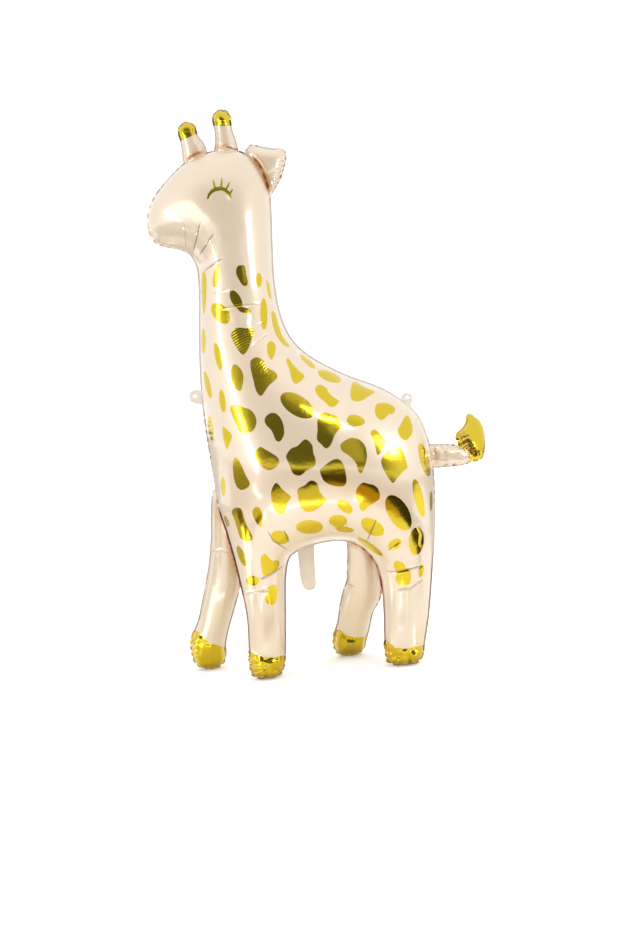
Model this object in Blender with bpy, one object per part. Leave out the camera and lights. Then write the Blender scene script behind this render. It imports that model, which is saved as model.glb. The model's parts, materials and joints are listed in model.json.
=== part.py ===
# Giraffe foil balloon, standing on its four hooves.
# The real balloon is two foil sheets welded round one outline and blown up.
# This file does the same: it draws the flat outline, finds how far the gas lifts
# each point of the sheet, and closes the two sheets round the welded edge.
import math

import bmesh
import bpy
import numpy as np
from mathutils.geometry import delaunay_2d_cdt

# Driving sizes, in millimetres and degrees
SEAM_INSIDE = 2.2
SEAM_OUTSIDE = 1.6
SEAM_THICK = 1.0
FULLNESS = 0.90
EDGE_STEP = 15.0
INNER_STEP = 23.0
EDGE_RINGS = (1.5, 6.0, 14.0)
LEAN = math.radians(5.5)
TURN = math.radians(5.8)
SOLE_HEIGHT = 6.0
TAB_THICK = 0.9
TAB_HOLE = 6.0
VALVE_THICK = 0.8

# Outline of the flat body sheet, region by region, as x and height in millimetres
HEAD_TOP = [(-251, 800), (-225, 827), (-199, 842), (-168, 852), (-136, 852), (-113, 842)]
HEAD_BACK = [(-96, 823), (-84, 794), (-80, 757)]
NAPE = [(-78, 700), (-75, 643), (-65, 588), (-47, 548)]
BACK = [(-19, 521), (16, 501), (52, 485), (91, 471), (126, 452)]
RUMP = [(156, 426), (173, 390), (181, 355), (185, 303), (185, 238)]
HIND_LEG_REAR = [(181, 170), (176, 105), (169, 55)]
HIND_HOOF = [(167, 34), (157, 17), (134, 12), (114, 19), (107, 38)]
HIND_LEG_FRONT = [(105, 66), (104, 105), (101, 141), (92, 180), (71, 207)]
BELLY = [(44, 220), (13, 220), (-19, 212), (-39, 203)]
FORE_LEG_REAR = [(-51, 190), (-56, 157), (-56, 100), (-56, 52)]
FORE_HOOF = [(-58, 18), (-66, -2), (-86, -10), (-105, -3), (-113, 20)]
FORE_LEG_FRONT = [(-115, 60), (-118, 100), (-127, 144), (-138, 190), (-151, 235), (-164, 274)]
CHEST = [(-169, 308), (-177, 355), (-185, 405), (-191, 454), (-194, 505)]
THROAT = [(-195, 562), (-195, 617), (-198, 659), (-209, 683), (-228, 693), (-249, 697)]
MUZZLE = [(-267, 705), (-277, 722), (-279, 742), (-275, 761), (-266, 780)]
BODY = (HEAD_TOP + HEAD_BACK + NAPE + BACK + RUMP + HIND_LEG_REAR + HIND_HOOF
        + HIND_LEG_FRONT + BELLY + FORE_LEG_REAR + FORE_HOOF + FORE_LEG_FRONT
        + CHEST + THROAT + MUZZLE)

# Outlines of the leaf shaped ear and of the tuft folded up at the end of the tail
EAR = [(-119, 843), (-117, 856), (-111, 861), (-94, 858), (-75, 855), (-62, 855),
       (-56, 845), (-59, 825), (-66, 805), (-76, 788), (-84, 778), (-98, 804)]
TUFT = [(242, 426), (254, 421), (263, 412), (268, 394), (268, 374), (264, 357),
        (255, 351), (243, 351), (232, 364), (224, 380), (222, 393), (231, 402), (238, 412)]

# Limbs and lobes as a centre line: x, height and half width at each station
LEFT_HORN = [(-201, 836, 19), (-205, 856, 18), (-210, 872, 15), (-214, 885, 15)]
RIGHT_HORN = [(-152, 845, 19), (-153, 866, 16), (-157, 887, 13), (-159, 905, 15)]
TAIL = [(168, 358, 17), (186, 358, 18), (212, 359, 17), (234, 358, 13)]
FAR_FORE_LEG = [(-161, 8, 14), (-158, -32, 20), (-155, -76, 24), (-157, -121, 26),
                (-161, -157, 28), (-169, -193, 27), (-178, -230, 26), (-187, -262, 29),
                (-185, -292, 27)]
FAR_HIND_LEG = [(62, 20, 18), (68, -15, 22), (70, -41, 25), (70, -67, 26),
                (66, -97, 28), (61, -122, 28), (57, -150, 27), (51, -178, 27),
                (51, -199, 25)]
VALVE = [(-23, 216, 13), (-22, 190, 13), (-19, 158, 12), (-17, 150, 11)]
CHEST_TAB = [(-180, 452, 11), (-202, 454, 11)]
RUMP_TAB = [(134, 428, 9), (141, 452, 9)]
TAB_HOLES = [(-203, 455), (142, 453)]

# Where a far leg leaves the body: height on the sheet, depth behind it, fold angle
FORE_HINGE = (292, 25, math.radians(20))
HIND_HINGE = (214, 35, math.radians(25))


def clear_scene():
    for old in list(bpy.data.objects):
        bpy.data.objects.remove(old, do_unlink=True)


def collection(name, hidden=False):
    made = bpy.data.collections.new(name)
    bpy.context.scene.collection.children.link(made)
    made.hide_render = hidden
    return made


def resample(points, step):
    """Even steps round a closed line of points."""
    ring = np.vstack([points, points[:1]])
    gaps = np.linalg.norm(np.diff(ring, axis=0), axis=1)
    along = np.concatenate([[0.0], np.cumsum(gaps)])
    count = max(12, int(round(along[-1] / step)))
    at = np.arange(count) * along[-1] / count
    return np.column_stack([np.interp(at, along, ring[:, i]) for i in (0, 1)])


def smooth_loop(points, step):
    """A smooth closed line through the points, sampled in even steps."""
    p = np.array(points, float)
    before, after, later = np.roll(p, 1, 0), np.roll(p, -1, 0), np.roll(p, -2, 0)
    t = np.linspace(0, 1, 16, endpoint=False)[None, :, None]
    a, b, c, d = (q[:, None, :] for q in (before, p, after, later))
    curve = 0.5 * (2 * b + (c - a) * t + (2 * a - 5 * b + 4 * c - d) * t ** 2
                   + (3 * b - a - 3 * c + d) * t ** 3)
    return resample(curve.reshape(-1, 2), step)


def ribbon(stations, start_cap=0.5, end_cap=0.9):
    """Points round a limb that follows its centre line, with a rounded end."""
    s = np.array(stations, float)
    run = np.gradient(s[:, :2], axis=0)
    run /= np.linalg.norm(run, axis=1)[:, None]
    side = np.column_stack([-run[:, 1], run[:, 0]]) * s[:, 2:]
    left, right = s[:, :2] + side, s[:, :2] - side
    ends = []
    for i, sign, reach in ((-1, 1, end_cap), (0, -1, start_cap)):
        mid, half = s[i, :2], s[i, 2]
        ahead = run[i] * sign * half * reach
        across = side[i] * sign
        ends.append([mid + ahead * 0.8 + across * 0.62, mid + ahead,
                     mid + ahead * 0.8 - across * 0.62])
    loop = list(left) + ends[0] + list(right[::-1]) + ends[1]
    return loop


def inward(loop):
    """Unit normals of a closed line, pointing into it."""
    tangent = np.roll(loop, -1, 0) - np.roll(loop, 1, 0)
    tangent /= np.linalg.norm(tangent, axis=1)[:, None]
    normal = np.column_stack([-tangent[:, 1], tangent[:, 0]])
    x, z = loop[:, 0], loop[:, 1]
    area = np.sum(x * np.roll(z, -1) - np.roll(x, -1) * z)
    return normal if area > 0 else -normal


def edge_distance(points, loop):
    """Distance of each point from a closed line of short segments."""
    a, b = loop, np.roll(loop, -1, 0)
    run = b - a
    share = np.einsum("pij,ij->pi", points[:, None] - a[None], run)
    share = np.clip(share / np.einsum("ij,ij->i", run, run), 0, 1)
    foot = a[None] + share[..., None] * run[None]
    return np.linalg.norm(points[:, None] - foot, axis=2).min(axis=1)


def inside(points, loop):
    """Whether each point lies inside a closed line, by counting crossings."""
    a, b = loop, np.roll(loop, -1, 0)
    x, z = points[:, :1], points[:, 1:]
    crosses = (a[None, :, 1] > z) != (b[None, :, 1] > z)
    rise = np.where(b[:, 1] == a[:, 1], 1e-9, b[:, 1] - a[:, 1])
    at = a[None, :, 0] + (z - a[None, :, 1]) * ((b - a)[:, 0] / rise)[None]
    return (crosses & (x < at)).sum(axis=1) % 2 == 1


def fill_points(weld):
    """Rows of points beside the weld and a hexagonal grid farther in."""
    normal = inward(weld)
    rows = [weld]
    for depth in EDGE_RINGS:
        row = weld + normal * depth
        kept = inside(row, weld) & (edge_distance(row, weld) > 0.93 * depth)
        rows.append(row[kept])
    low, high = weld.min(axis=0), weld.max(axis=0)
    lines = np.arange(low[1], high[1], INNER_STEP * 0.866)
    grid = [(x + (i % 2) * INNER_STEP / 2, z)
            for i, z in enumerate(lines)
            for x in np.arange(low[0], high[0], INNER_STEP)]
    grid = np.array(grid)
    grid = grid[inside(grid, weld)]
    far = edge_distance(grid, weld) > EDGE_RINGS[-1] + 0.45 * INNER_STEP
    rows.append(grid[far])
    points = np.vstack(rows)
    keep = list(range(len(weld)))
    for i in range(len(weld), len(points)):
        if np.linalg.norm(points[keep] - points[i], axis=1).min() > 1.3:
            keep.append(i)
    return points[keep]


def gas_lift(points, faces, fixed):
    """Height of the inflated sheet: a stretched skin under even pressure."""
    count = len(points)
    stiff, load = np.zeros((count, count)), np.zeros(count)
    for face in faces:
        corner = points[list(face)]
        run = corner[[2, 0, 1]] - corner[[1, 2, 0]]
        area = abs(np.cross(run[0], run[1])) / 2
        stiff[np.ix_(face, face)] += run @ run.T / (4 * area)
        load[list(face)] += 2 * area / 3
    free = np.arange(fixed, count)
    lift = np.zeros(count)
    lift[free] = np.linalg.solve(stiff[np.ix_(free, free)], load[free])
    return np.sqrt(np.clip(lift, 0, None))


def on_sheet(x, z, depth):
    """From the flat sheet to the standing balloon: turned level, leaning back."""
    across = x * math.cos(TURN) + z * math.sin(TURN)
    up = z * math.cos(TURN) - x * math.sin(TURN)
    return (across, depth * math.cos(LEAN) + up * math.sin(LEAN),
            up * math.cos(LEAN) - depth * math.sin(LEAN) - SOLE_HEIGHT)


def folded(hinge):
    """The same for a far leg, which is folded back below its hinge height."""
    height, behind, angle = hinge

    def place(x, z, depth):
        return on_sheet(x, height + z * math.cos(angle) + depth * math.sin(angle),
                        behind - z * math.sin(angle) + depth * math.cos(angle))
    return place


def add_object(name, vertices, faces, home):
    mesh = bpy.data.meshes.new(name)
    mesh.from_pydata([tuple(c / 1000 for c in v) for v in vertices], [], faces)
    made = bpy.data.objects.new(name, mesh)
    home.objects.link(made)
    tool = bmesh.new()
    tool.from_mesh(mesh)
    bmesh.ops.recalc_face_normals(tool, faces=tool.faces)
    tool.to_mesh(mesh)
    tool.free()
    return made


def cushion(name, outline, place, home, thick=SEAM_THICK, step=EDGE_STEP):
    """Two sheets blown apart inside the weld, with the flat seam outside it."""
    drawn = smooth_loop(outline, step)
    weld = drawn + inward(drawn) * SEAM_INSIDE
    edge = drawn - inward(drawn) * SEAM_OUTSIDE
    count = len(weld)
    points = fill_points(weld)
    found = delaunay_2d_cdt([tuple(p) for p in points], [], [list(range(count))], 1, 1e-4)
    flat = np.array([tuple(v) for v in found[0]])
    faces = [tuple(f) for f in found[2]]
    lift = thick / 2 + FULLNESS * gas_lift(flat, faces, count)
    total = len(flat)
    vertices = [place(x, z, -h) for (x, z), h in zip(flat, lift)]
    vertices += [place(x, z, h) for (x, z), h in zip(flat, lift)]
    vertices += [place(x, z, -thick / 2) for x, z in edge]
    vertices += [place(x, z, thick / 2) for x, z in edge]
    front, back = 2 * total, 2 * total + count
    shell = list(faces) + [tuple(total + i for i in f[::-1]) for f in faces]
    for i in range(count):
        j = (i + 1) % count
        shell.append((i, j, front + j, front + i))
        shell.append((total + j, total + i, back + i, back + j))
        shell.append((front + i, front + j, back + j, back + i))
    return add_object(name, vertices, shell, home)


def plate(name, outline, thick, step, home):
    """A flat piece of doubled film, such as a tab or the filling valve."""
    loop = smooth_loop(outline, step)
    count = len(loop)
    vertices = [on_sheet(x, z, d) for d in (-thick / 2, thick / 2) for x, z in loop]
    faces = [tuple(range(count)), tuple(range(2 * count - 1, count - 1, -1))]
    faces += [(i, (i + 1) % count, count + (i + 1) % count, count + i)
              for i in range(count)]
    return add_object(name, vertices, faces, home)


def combine(body, others, operation):
    """Joins or cuts the body with each of the others in turn."""
    for other in others:
        step = body.modifiers.new(other.name, "BOOLEAN")
        step.operation = operation
        step.solver = "EXACT"
        step.object = other
        graph = bpy.context.evaluated_depsgraph_get()
        made = bpy.data.meshes.new_from_object(body.evaluated_get(graph))
        body.modifiers.clear()
        body.data = made


def finish(body):
    """One smooth material, and the origin under the middle of the box."""
    low = np.array([v.co[:] for v in body.data.vertices])
    middle = (low.min(axis=0) + low.max(axis=0)) / 2
    for vertex in body.data.vertices:
        vertex.co.x -= middle[0]
        vertex.co.y -= middle[1]
        vertex.co.z -= low[:, 2].min()
    foil = bpy.data.materials.new("pale_foil")
    foil.use_nodes = True
    shader = foil.node_tree.nodes["Principled BSDF"]
    shader.inputs["Base Color"].default_value = (0.86, 0.73, 0.62, 1)
    shader.inputs["Metallic"].default_value = 0.5
    shader.inputs["Roughness"].default_value = 0.25
    body.data.materials.clear()
    body.data.materials.append(foil)
    for face in body.data.polygons:
        face.use_smooth = True
    edges = bmesh.new()
    edges.from_mesh(body.data)
    for edge in edges.edges:
        edge.smooth = edge.calc_face_angle(0) < math.radians(50)
    edges.to_mesh(body.data)
    edges.free()
    moved = (middle[0], middle[1], low[:, 2].min())
    print(len(body.data.polygons), "faces,", "size",
          [round(float(c), 4) for c in low.max(axis=0) - low.min(axis=0)],
          "moved by", [round(float(c), 5) for c in moved])
    return moved


def main():
    clear_scene()
    kept = collection("giraffe_balloon")
    helpers = collection("cutters", hidden=True)
    body = cushion("giraffe_balloon", BODY, on_sheet, kept)
    lobes = [
        cushion("far_fore_leg", ribbon(FAR_FORE_LEG), folded(FORE_HINGE), helpers, 0.9),
        cushion("far_hind_leg", ribbon(FAR_HIND_LEG), folded(HIND_HINGE), helpers, 0.9),
        cushion("left_horn", ribbon(LEFT_HORN), on_sheet, helpers, 0.8, 8),
        cushion("right_horn", ribbon(RIGHT_HORN), on_sheet, helpers, 0.8, 8),
        cushion("ear", EAR, on_sheet, helpers, 0.7, 10),
        cushion("tail", ribbon(TAIL), on_sheet, helpers, 0.8, 10),
        cushion("tuft", TUFT, on_sheet, helpers, 0.7, 9),
        plate("valve", ribbon(VALVE, 0.2), VALVE_THICK, 6, helpers),
        plate("chest_tab", ribbon(CHEST_TAB), TAB_THICK, 4, helpers),
        plate("rump_tab", ribbon(RUMP_TAB), TAB_THICK, 4, helpers),
    ]
    combine(body, lobes, "UNION")
    cutters = []
    for i, (x, z) in enumerate(TAB_HOLES):
        turns = [k * math.tau / 24 for k in range(24)]
        ring = [(x + TAB_HOLE / 2 * math.cos(a), z + TAB_HOLE / 2 * math.sin(a)) for a in turns]
        cutters.append(plate("hole_%d" % i, ring, 8, 0.9, helpers))
    bpy.ops.mesh.primitive_cube_add(size=2, location=(0, 0, -1))
    floor = bpy.context.object
    floor.name = "floor_cut"
    for home in list(floor.users_collection):
        home.objects.unlink(floor)
    helpers.objects.link(floor)
    cutters.append(floor)
    combine(body, cutters, "DIFFERENCE")
    for helper in helpers.objects:
        helper.hide_render = True
        helper.display_type = "WIRE"
    return finish(body)


SHIFT = main()
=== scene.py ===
# %% [markdown]
# Giraffe foil balloon
#
# The real balloon is two sheets of metallised film, welded to each other round one outline and
# blown up with air until it stands on its four hooves. A digital one can be sculpted, or it can be
# made as the factory makes it: draw the flat outline, then let pressure lift the film. The second
# way is used here, because the pinched seams, the flat weld and the soft pillow shape then come
# from the same few sizes as on the real thing.

# %% Open the shared frame
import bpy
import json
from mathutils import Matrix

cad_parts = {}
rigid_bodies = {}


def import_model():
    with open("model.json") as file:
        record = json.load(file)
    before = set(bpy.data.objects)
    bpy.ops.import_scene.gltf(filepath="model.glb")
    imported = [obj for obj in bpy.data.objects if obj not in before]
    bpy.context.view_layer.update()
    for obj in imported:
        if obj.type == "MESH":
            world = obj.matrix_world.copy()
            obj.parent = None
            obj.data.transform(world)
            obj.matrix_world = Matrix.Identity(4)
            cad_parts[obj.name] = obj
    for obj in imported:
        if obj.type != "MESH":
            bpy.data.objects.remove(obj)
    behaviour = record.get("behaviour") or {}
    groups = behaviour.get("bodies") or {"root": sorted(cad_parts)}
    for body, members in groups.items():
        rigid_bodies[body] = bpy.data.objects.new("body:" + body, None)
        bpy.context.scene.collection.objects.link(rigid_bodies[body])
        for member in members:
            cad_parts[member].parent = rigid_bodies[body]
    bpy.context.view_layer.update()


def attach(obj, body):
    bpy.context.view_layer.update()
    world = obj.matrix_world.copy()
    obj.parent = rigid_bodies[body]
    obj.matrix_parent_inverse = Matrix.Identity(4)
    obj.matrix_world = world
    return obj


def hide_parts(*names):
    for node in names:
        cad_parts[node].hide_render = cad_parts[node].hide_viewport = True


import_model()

# %% Tools
import json
import math

import bmesh
import bpy
import numpy as np
from mathutils import Matrix, Vector, kdtree, noise
from mathutils.geometry import delaunay_2d_cdt

# %% [markdown]
# How the sheet stands
#
# Everything is drawn flat first, in millimetres: x along the animal, z up it, and depth through
# the film, towards the back. One function then stands the flat sheet up, turned a little until
# all four hooves are level and leaning back a little, as a balloon with a heavy head does.
# The far legs are tubes welded behind the body, so they get one more fold at a hinge.

# %% Stand the sheet up
LEAN = math.radians(5.5)
TURN = math.radians(5.8)
SOLE_HEIGHT = 6.0
MIDDLE = np.array([47.63, 34.7, 0.0])   # the box's middle, which becomes the origin, in mm
FORE_HINGE = (292, 25, math.radians(20))   # height, depth behind the sheet, fold angle
HIND_HINGE = (214, 35, math.radians(25))


def flat_lay(x, z, depth):
    """The body's own sheet stays flat."""
    return x, z, depth


def folded_lay(hinge):
    """A far leg hangs below its hinge and folds away from the body."""
    height, behind, angle = hinge

    def lay(x, z, depth):
        return (x, height + z * math.cos(angle) + depth * math.sin(angle),
                behind - z * math.sin(angle) + depth * math.cos(angle))
    return lay


def tilted_lay(x0, z0, turn, tilt):
    """A lobe that turns away at its right side and leans back at its top, about one point."""
    def lay(x, z, depth):
        across, up = x - x0, z - z0
        deep = across * math.sin(turn) + depth * math.cos(turn)
        return (x0 + across * math.cos(turn) - depth * math.sin(turn),
                z0 + up * math.cos(tilt) - deep * math.sin(tilt),
                up * math.sin(tilt) + deep * math.cos(tilt))
    return lay


def before_tilt(points, x0, z0, turn, tilt):
    """The flat outline that shows as these points once it has been tilted."""
    flat = []
    for x, z in points:
        across = (x - x0) / math.cos(turn)
        flat.append((x0 + across,
                     z0 + (z - z0 + across * math.sin(turn) * math.sin(tilt)) / math.cos(tilt)))
    return flat


def stand_up(x, z, depth):
    """From the flat sheet to the standing balloon, in metres."""
    across = x * math.cos(TURN) + z * math.sin(TURN)
    up = z * math.cos(TURN) - x * math.sin(TURN)
    y = depth * math.cos(LEAN) + up * math.sin(LEAN)
    height = up * math.cos(LEAN) - depth * math.sin(LEAN) - SOLE_HEIGHT
    return (np.stack(np.broadcast_arrays(across, y, height), axis=-1) - MIDDLE) / 1000


# %% [markdown]
# The camera
#
# The balloon was photographed square on to its film, from about three metres with a moderate
# telephoto lens. The camera is set from that distance and from how many millimetres of film one
# image dot covers, instead of by eye, so the outline can be laid over the real one.

# %% Set the camera
CAMERA_DISTANCE = 3000.0
MM_PER_DOT = 1.62
IMAGE_WIDTH = 621   # dots
SENSOR_WIDTH = 36
FARTHEST_SEEN = 100   # metres
AIM = (-15.4, 342.6)   # the point of the sheet in the middle of the image


def seen(x, z, depth):
    """Where a point of the balloon shows on the plane of the sheet, from the camera."""
    scale = CAMERA_DISTANCE / (CAMERA_DISTANCE + depth)
    return AIM[0] + (x - AIM[0]) * scale, AIM[1] + (z - AIM[1]) * scale


def unseen(points, depth):
    """Back from where points show to where they lie on the sheet."""
    scale = CAMERA_DISTANCE / (CAMERA_DISTANCE + depth)
    return np.array(AIM) + (points - AIM) / scale[:, None]


def put_in_scene(name, data):
    """A new object in the scene, made of this mesh, lamp or camera."""
    made = bpy.data.objects.new(name, data)
    bpy.context.scene.collection.objects.link(made)
    return made


def placement(right, up, back, at):
    """The matrix of an object whose own axes point these ways, at a point."""
    turned = Matrix([list(v) for v in (right, up, back)]).transposed().to_4x4()
    turned.translation = Vector(at)
    return turned


# a metre to the right, up and away on the sheet gives the camera its three axes
origin = stand_up(*AIM, 0)
right = stand_up(AIM[0] + 1000, AIM[1], 0) - origin
up = stand_up(AIM[0], AIM[1] + 1000, 0) - origin
away = stand_up(*AIM, 1000) - origin
camera = put_in_scene("camera", bpy.data.cameras.new("camera"))
camera.matrix_world = placement(right, up, -away, origin - away * CAMERA_DISTANCE / 1000)
camera.data.sensor_fit = "HORIZONTAL"
camera.data.sensor_width = SENSOR_WIDTH
camera.data.lens = SENSOR_WIDTH * CAMERA_DISTANCE / MM_PER_DOT / IMAGE_WIDTH
camera.data.clip_end = FARTHEST_SEEN
bpy.context.scene.camera = camera
print("lens", round(camera.data.lens, 1), "mm, camera at", [round(c, 3) for c in camera.location])

# %% [markdown]
# The flat outlines
#
# A balloon's shape is its outline, so these lists are the drawing. Each region of the animal has
# only the points that its curve needs, and a smooth line is passed through them afterwards.
# Legs, horns and tail are easier to draw as a centre line with a half width.

# %% Draw the outlines
HEAD_TOP = [(-251, 800), (-225, 827), (-199, 842), (-168, 852), (-136, 852), (-113, 842)]
HEAD_BACK = [(-96, 823), (-84, 794), (-80, 757)]
NAPE = [(-78, 700), (-75, 643), (-65, 588), (-47, 548)]
BACK = [(-19, 521), (16, 501), (52, 485), (91, 471), (126, 452)]
RUMP = [(156, 426), (173, 390), (181, 355), (185, 303), (185, 238)]
HIND_LEG_REAR = [(181, 170), (176, 105), (169, 55)]
HIND_HOOF = [(167, 34), (157, 17), (134, 12), (114, 19), (107, 38)]
HIND_LEG_FRONT = [(105, 66), (104, 105), (101, 141), (92, 180), (71, 207)]
BELLY = [(44, 220), (13, 220), (-19, 212), (-39, 203)]
FORE_LEG_REAR = [(-51, 190), (-56, 157), (-56, 100), (-56, 52)]
FORE_HOOF = [(-58, 18), (-66, -2), (-86, -10), (-105, -3), (-113, 20)]
FORE_LEG_FRONT = [(-115, 60), (-118, 100), (-127, 144), (-138, 190), (-151, 235), (-164, 274)]
CHEST = [(-169, 308), (-177, 355), (-185, 405), (-191, 454), (-194, 505)]
THROAT = [(-195, 562), (-195, 617), (-198, 659), (-209, 683), (-228, 693), (-249, 697)]
MUZZLE = [(-267, 705), (-277, 722), (-279, 742), (-275, 761), (-266, 780)]
BODY = (HEAD_TOP + HEAD_BACK + NAPE + BACK + RUMP + HIND_LEG_REAR + HIND_HOOF
        + HIND_LEG_FRONT + BELLY + FORE_LEG_REAR + FORE_HOOF + FORE_LEG_FRONT
        + CHEST + THROAT + MUZZLE)
EAR = [(-119, 843), (-117, 856), (-111, 861), (-94, 858), (-75, 855), (-62, 855),
       (-56, 845), (-59, 825), (-66, 805), (-76, 788), (-84, 778), (-98, 804)]
TUFT = [(242, 426), (254, 421), (263, 412), (268, 394), (268, 374), (264, 357),
        (255, 351), (243, 351), (232, 364), (224, 380), (222, 393), (231, 402), (238, 412)]
LEFT_HORN = [(-201, 836, 19), (-205, 856, 18), (-212, 872, 14), (-216, 885, 14)]
RIGHT_HORN = [(-152, 845, 19), (-153, 866, 16), (-157, 887, 13), (-160, 905, 14)]
TAIL = [(168, 358, 17), (186, 358, 18), (212, 359, 17), (234, 358, 13)]
FAR_FORE_LEG = [(-161, 8, 14), (-158, -32, 20), (-155, -76, 24), (-157, -121, 26),
                (-161, -157, 28), (-169, -193, 27), (-178, -230, 26), (-187, -262, 29),
                (-185, -292, 27)]
FAR_HIND_LEG = [(62, 20, 18), (68, -15, 22), (70, -41, 25), (73, -67, 28),
                (70, -92, 31), (61, -122, 28), (57, -150, 27), (51, -178, 27),
                (51, -199, 25)]
VALVE = [(-23, 216, 13), (-22, 190, 13), (-19, 158, 12), (-17, 150, 11)]
CHEST_TAB = [(-180, 452, 11), (-202, 454, 11)]
RUMP_TAB = [(134, 428, 9), (141, 452, 9)]
TAB_HOLE_RADIUS = 3.0
CURVE_STEPS = 16   # points that a smooth line gets between two drawn ones
CAP_REACH, CAP_WIDTH = 0.8, 0.62   # where a rounded end turns, as shares of its reach and half width


def resample(points, step):
    """Even steps round a closed line of points."""
    ring = np.vstack([points, points[:1]])
    gaps = np.linalg.norm(np.diff(ring, axis=0), axis=1)
    along = np.concatenate([[0.0], np.cumsum(gaps)])
    count = max(12, int(round(along[-1] / step)))
    at = np.arange(count) * along[-1] / count
    return np.column_stack([np.interp(at, along, ring[:, i]) for i in (0, 1)])


def smooth_loop(points, step):
    """A smooth closed line through the points, sampled in even steps."""
    p = np.array(points, float)
    before, after, later = np.roll(p, 1, 0), np.roll(p, -1, 0), np.roll(p, -2, 0)
    t = np.linspace(0, 1, CURVE_STEPS, endpoint=False)[None, :, None]
    a, b, c, d = (q[:, None, :] for q in (before, p, after, later))
    curve = 0.5 * (2 * b + (c - a) * t + (2 * a - 5 * b + 4 * c - d) * t ** 2
                   + (3 * b - a - 3 * c + d) * t ** 3)
    return resample(curve.reshape(-1, 2), step)


def ribbon(stations, start_cap=0.5, end_cap=0.9):
    """Points round a limb that follows its centre line, with a rounded end."""
    s = np.array(stations, float)
    run = np.gradient(s[:, :2], axis=0)
    run /= np.linalg.norm(run, axis=1)[:, None]
    side = np.column_stack([-run[:, 1], run[:, 0]]) * s[:, 2:]
    ends = []
    for i, sign, reach in ((-1, 1, end_cap), (0, -1, start_cap)):
        mid, half = s[i, :2], s[i, 2]
        ahead = run[i] * sign * half * reach
        across = side[i] * sign
        ends.append([mid + ahead * CAP_REACH + across * CAP_WIDTH, mid + ahead,
                     mid + ahead * CAP_REACH - across * CAP_WIDTH])
    left, right_side = s[:, :2] + side, s[:, :2] - side
    return list(left) + ends[0] + list(right_side[::-1]) + ends[1]


def inward(loop):
    """Unit normals of a closed line, pointing into it."""
    tangent = np.roll(loop, -1, 0) - np.roll(loop, 1, 0)
    tangent /= np.linalg.norm(tangent, axis=1)[:, None]
    normal = np.column_stack([-tangent[:, 1], tangent[:, 0]])
    x, z = loop[:, 0], loop[:, 1]
    area = np.sum(x * np.roll(z, -1) - np.roll(x, -1) * z)
    return normal if area > 0 else -normal


print("outline of the body:", len(BODY), "points,",
      round(np.linalg.norm(np.diff(smooth_loop(BODY, 5), axis=0), axis=1).sum()), "mm round")

# %% [markdown]
# A net of points on the film
#
# The film has to bend sharply beside the weld and only softly in the middle of the body. A grid
# would spend its faces evenly, so the net is made of rows that follow the weld, close together,
# and of a honeycomb of points farther in. Small printed marks get a finer patch of their own.

# %% Lay the net
SEAM_INSIDE = 1.0
SEAM_OUTSIDE = 1.2
ROWS = (0.6, 1.6, 3.0, 4.8, 7.2, 10.0)   # distance of each row from the weld, mm
CREASE_ROWS = (-2.5, -1.25, 0, 1.25, 2.5)   # rows beside a crease, mm
CREASE_STEP = 1.3   # mm between the points of such a row
ROW_HOLDS = 0.93   # share of its distance at which a row still holds in a tight corner
GRID_CLEAR = 0.45   # share of the spacing that the honeycomb keeps from the rows
PATCH_CLEAR = 0.9   # share of a patch's spacing that all points keep from each other


def inside(points, loop):
    """Whether each point lies inside a closed line, by counting crossings."""
    found = []
    a, b = loop, np.roll(loop, -1, 0)
    rise = np.where(b[:, 1] == a[:, 1], 1e-9, b[:, 1] - a[:, 1])
    slope = (b - a)[:, 0] / rise
    for part in np.array_split(points, max(1, len(points) // 2000)):
        x, z = part[:, :1], part[:, 1:]
        crosses = (a[None, :, 1] > z) != (b[None, :, 1] > z)
        at = a[None, :, 0] + (z - a[None, :, 1]) * slope[None]
        found.append((crosses & (x < at)).sum(axis=1) % 2 == 1)
    return np.concatenate(found)


def nearest(points, line):
    """Index of the nearest point of the line to each point, and its distance."""
    tree = kdtree.KDTree(len(line))
    for i, (x, z) in enumerate(line):
        tree.insert((x, z, 0), i)
    tree.balance()
    hits = [tree.find((x, z, 0)) for x, z in points]
    return np.array([h[1] for h in hits]), np.array([h[2] for h in hits])


def honeycomb(low, high, spacing):
    """Points that fill a box in staggered rows, each as far from the next."""
    rows = np.arange(low[1], high[1], spacing * 0.866)
    return np.array([(x + (i % 2) * spacing / 2, z) for i, z in enumerate(rows)
                     for x in np.arange(low[0], high[0], spacing)])


def thinned(points, fixed, least):
    """The points without those that crowd an earlier one."""
    tree = kdtree.KDTree(len(points))
    for i, (x, z) in enumerate(points):
        tree.insert((x, z, 0), i)
    tree.balance()
    keep = np.ones(len(points), bool)
    for i, (x, z) in enumerate(points):
        if keep[i]:
            for _, j, _ in tree.find_range((x, z, 0), least):
                if j > i and j >= fixed:
                    keep[j] = False
    return points[keep]


def beside(line):
    """Rows of points along an open line and beside it."""
    line = np.array(line, float)
    gaps = np.linalg.norm(np.diff(line, axis=0), axis=1)
    along = np.concatenate([[0], np.cumsum(gaps)])
    at = np.arange(0, along[-1], CREASE_STEP)
    middle = np.column_stack([np.interp(at, along, line[:, i]) for i in (0, 1)])
    run = np.gradient(middle, axis=0)
    run /= np.linalg.norm(run, axis=1)[:, None]
    side = np.column_stack([-run[:, 1], run[:, 0]])
    return np.vstack([middle + side * offset for offset in CREASE_ROWS])


def triangles_inside(points, ring):
    """The points, and the triangles between them that lie inside the ring."""
    found = delaunay_2d_cdt([tuple(p) for p in points], [], [ring], 1, 1e-5)
    return np.array([tuple(v) for v in found[0]]), np.array([tuple(f) for f in found[2]])


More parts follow.
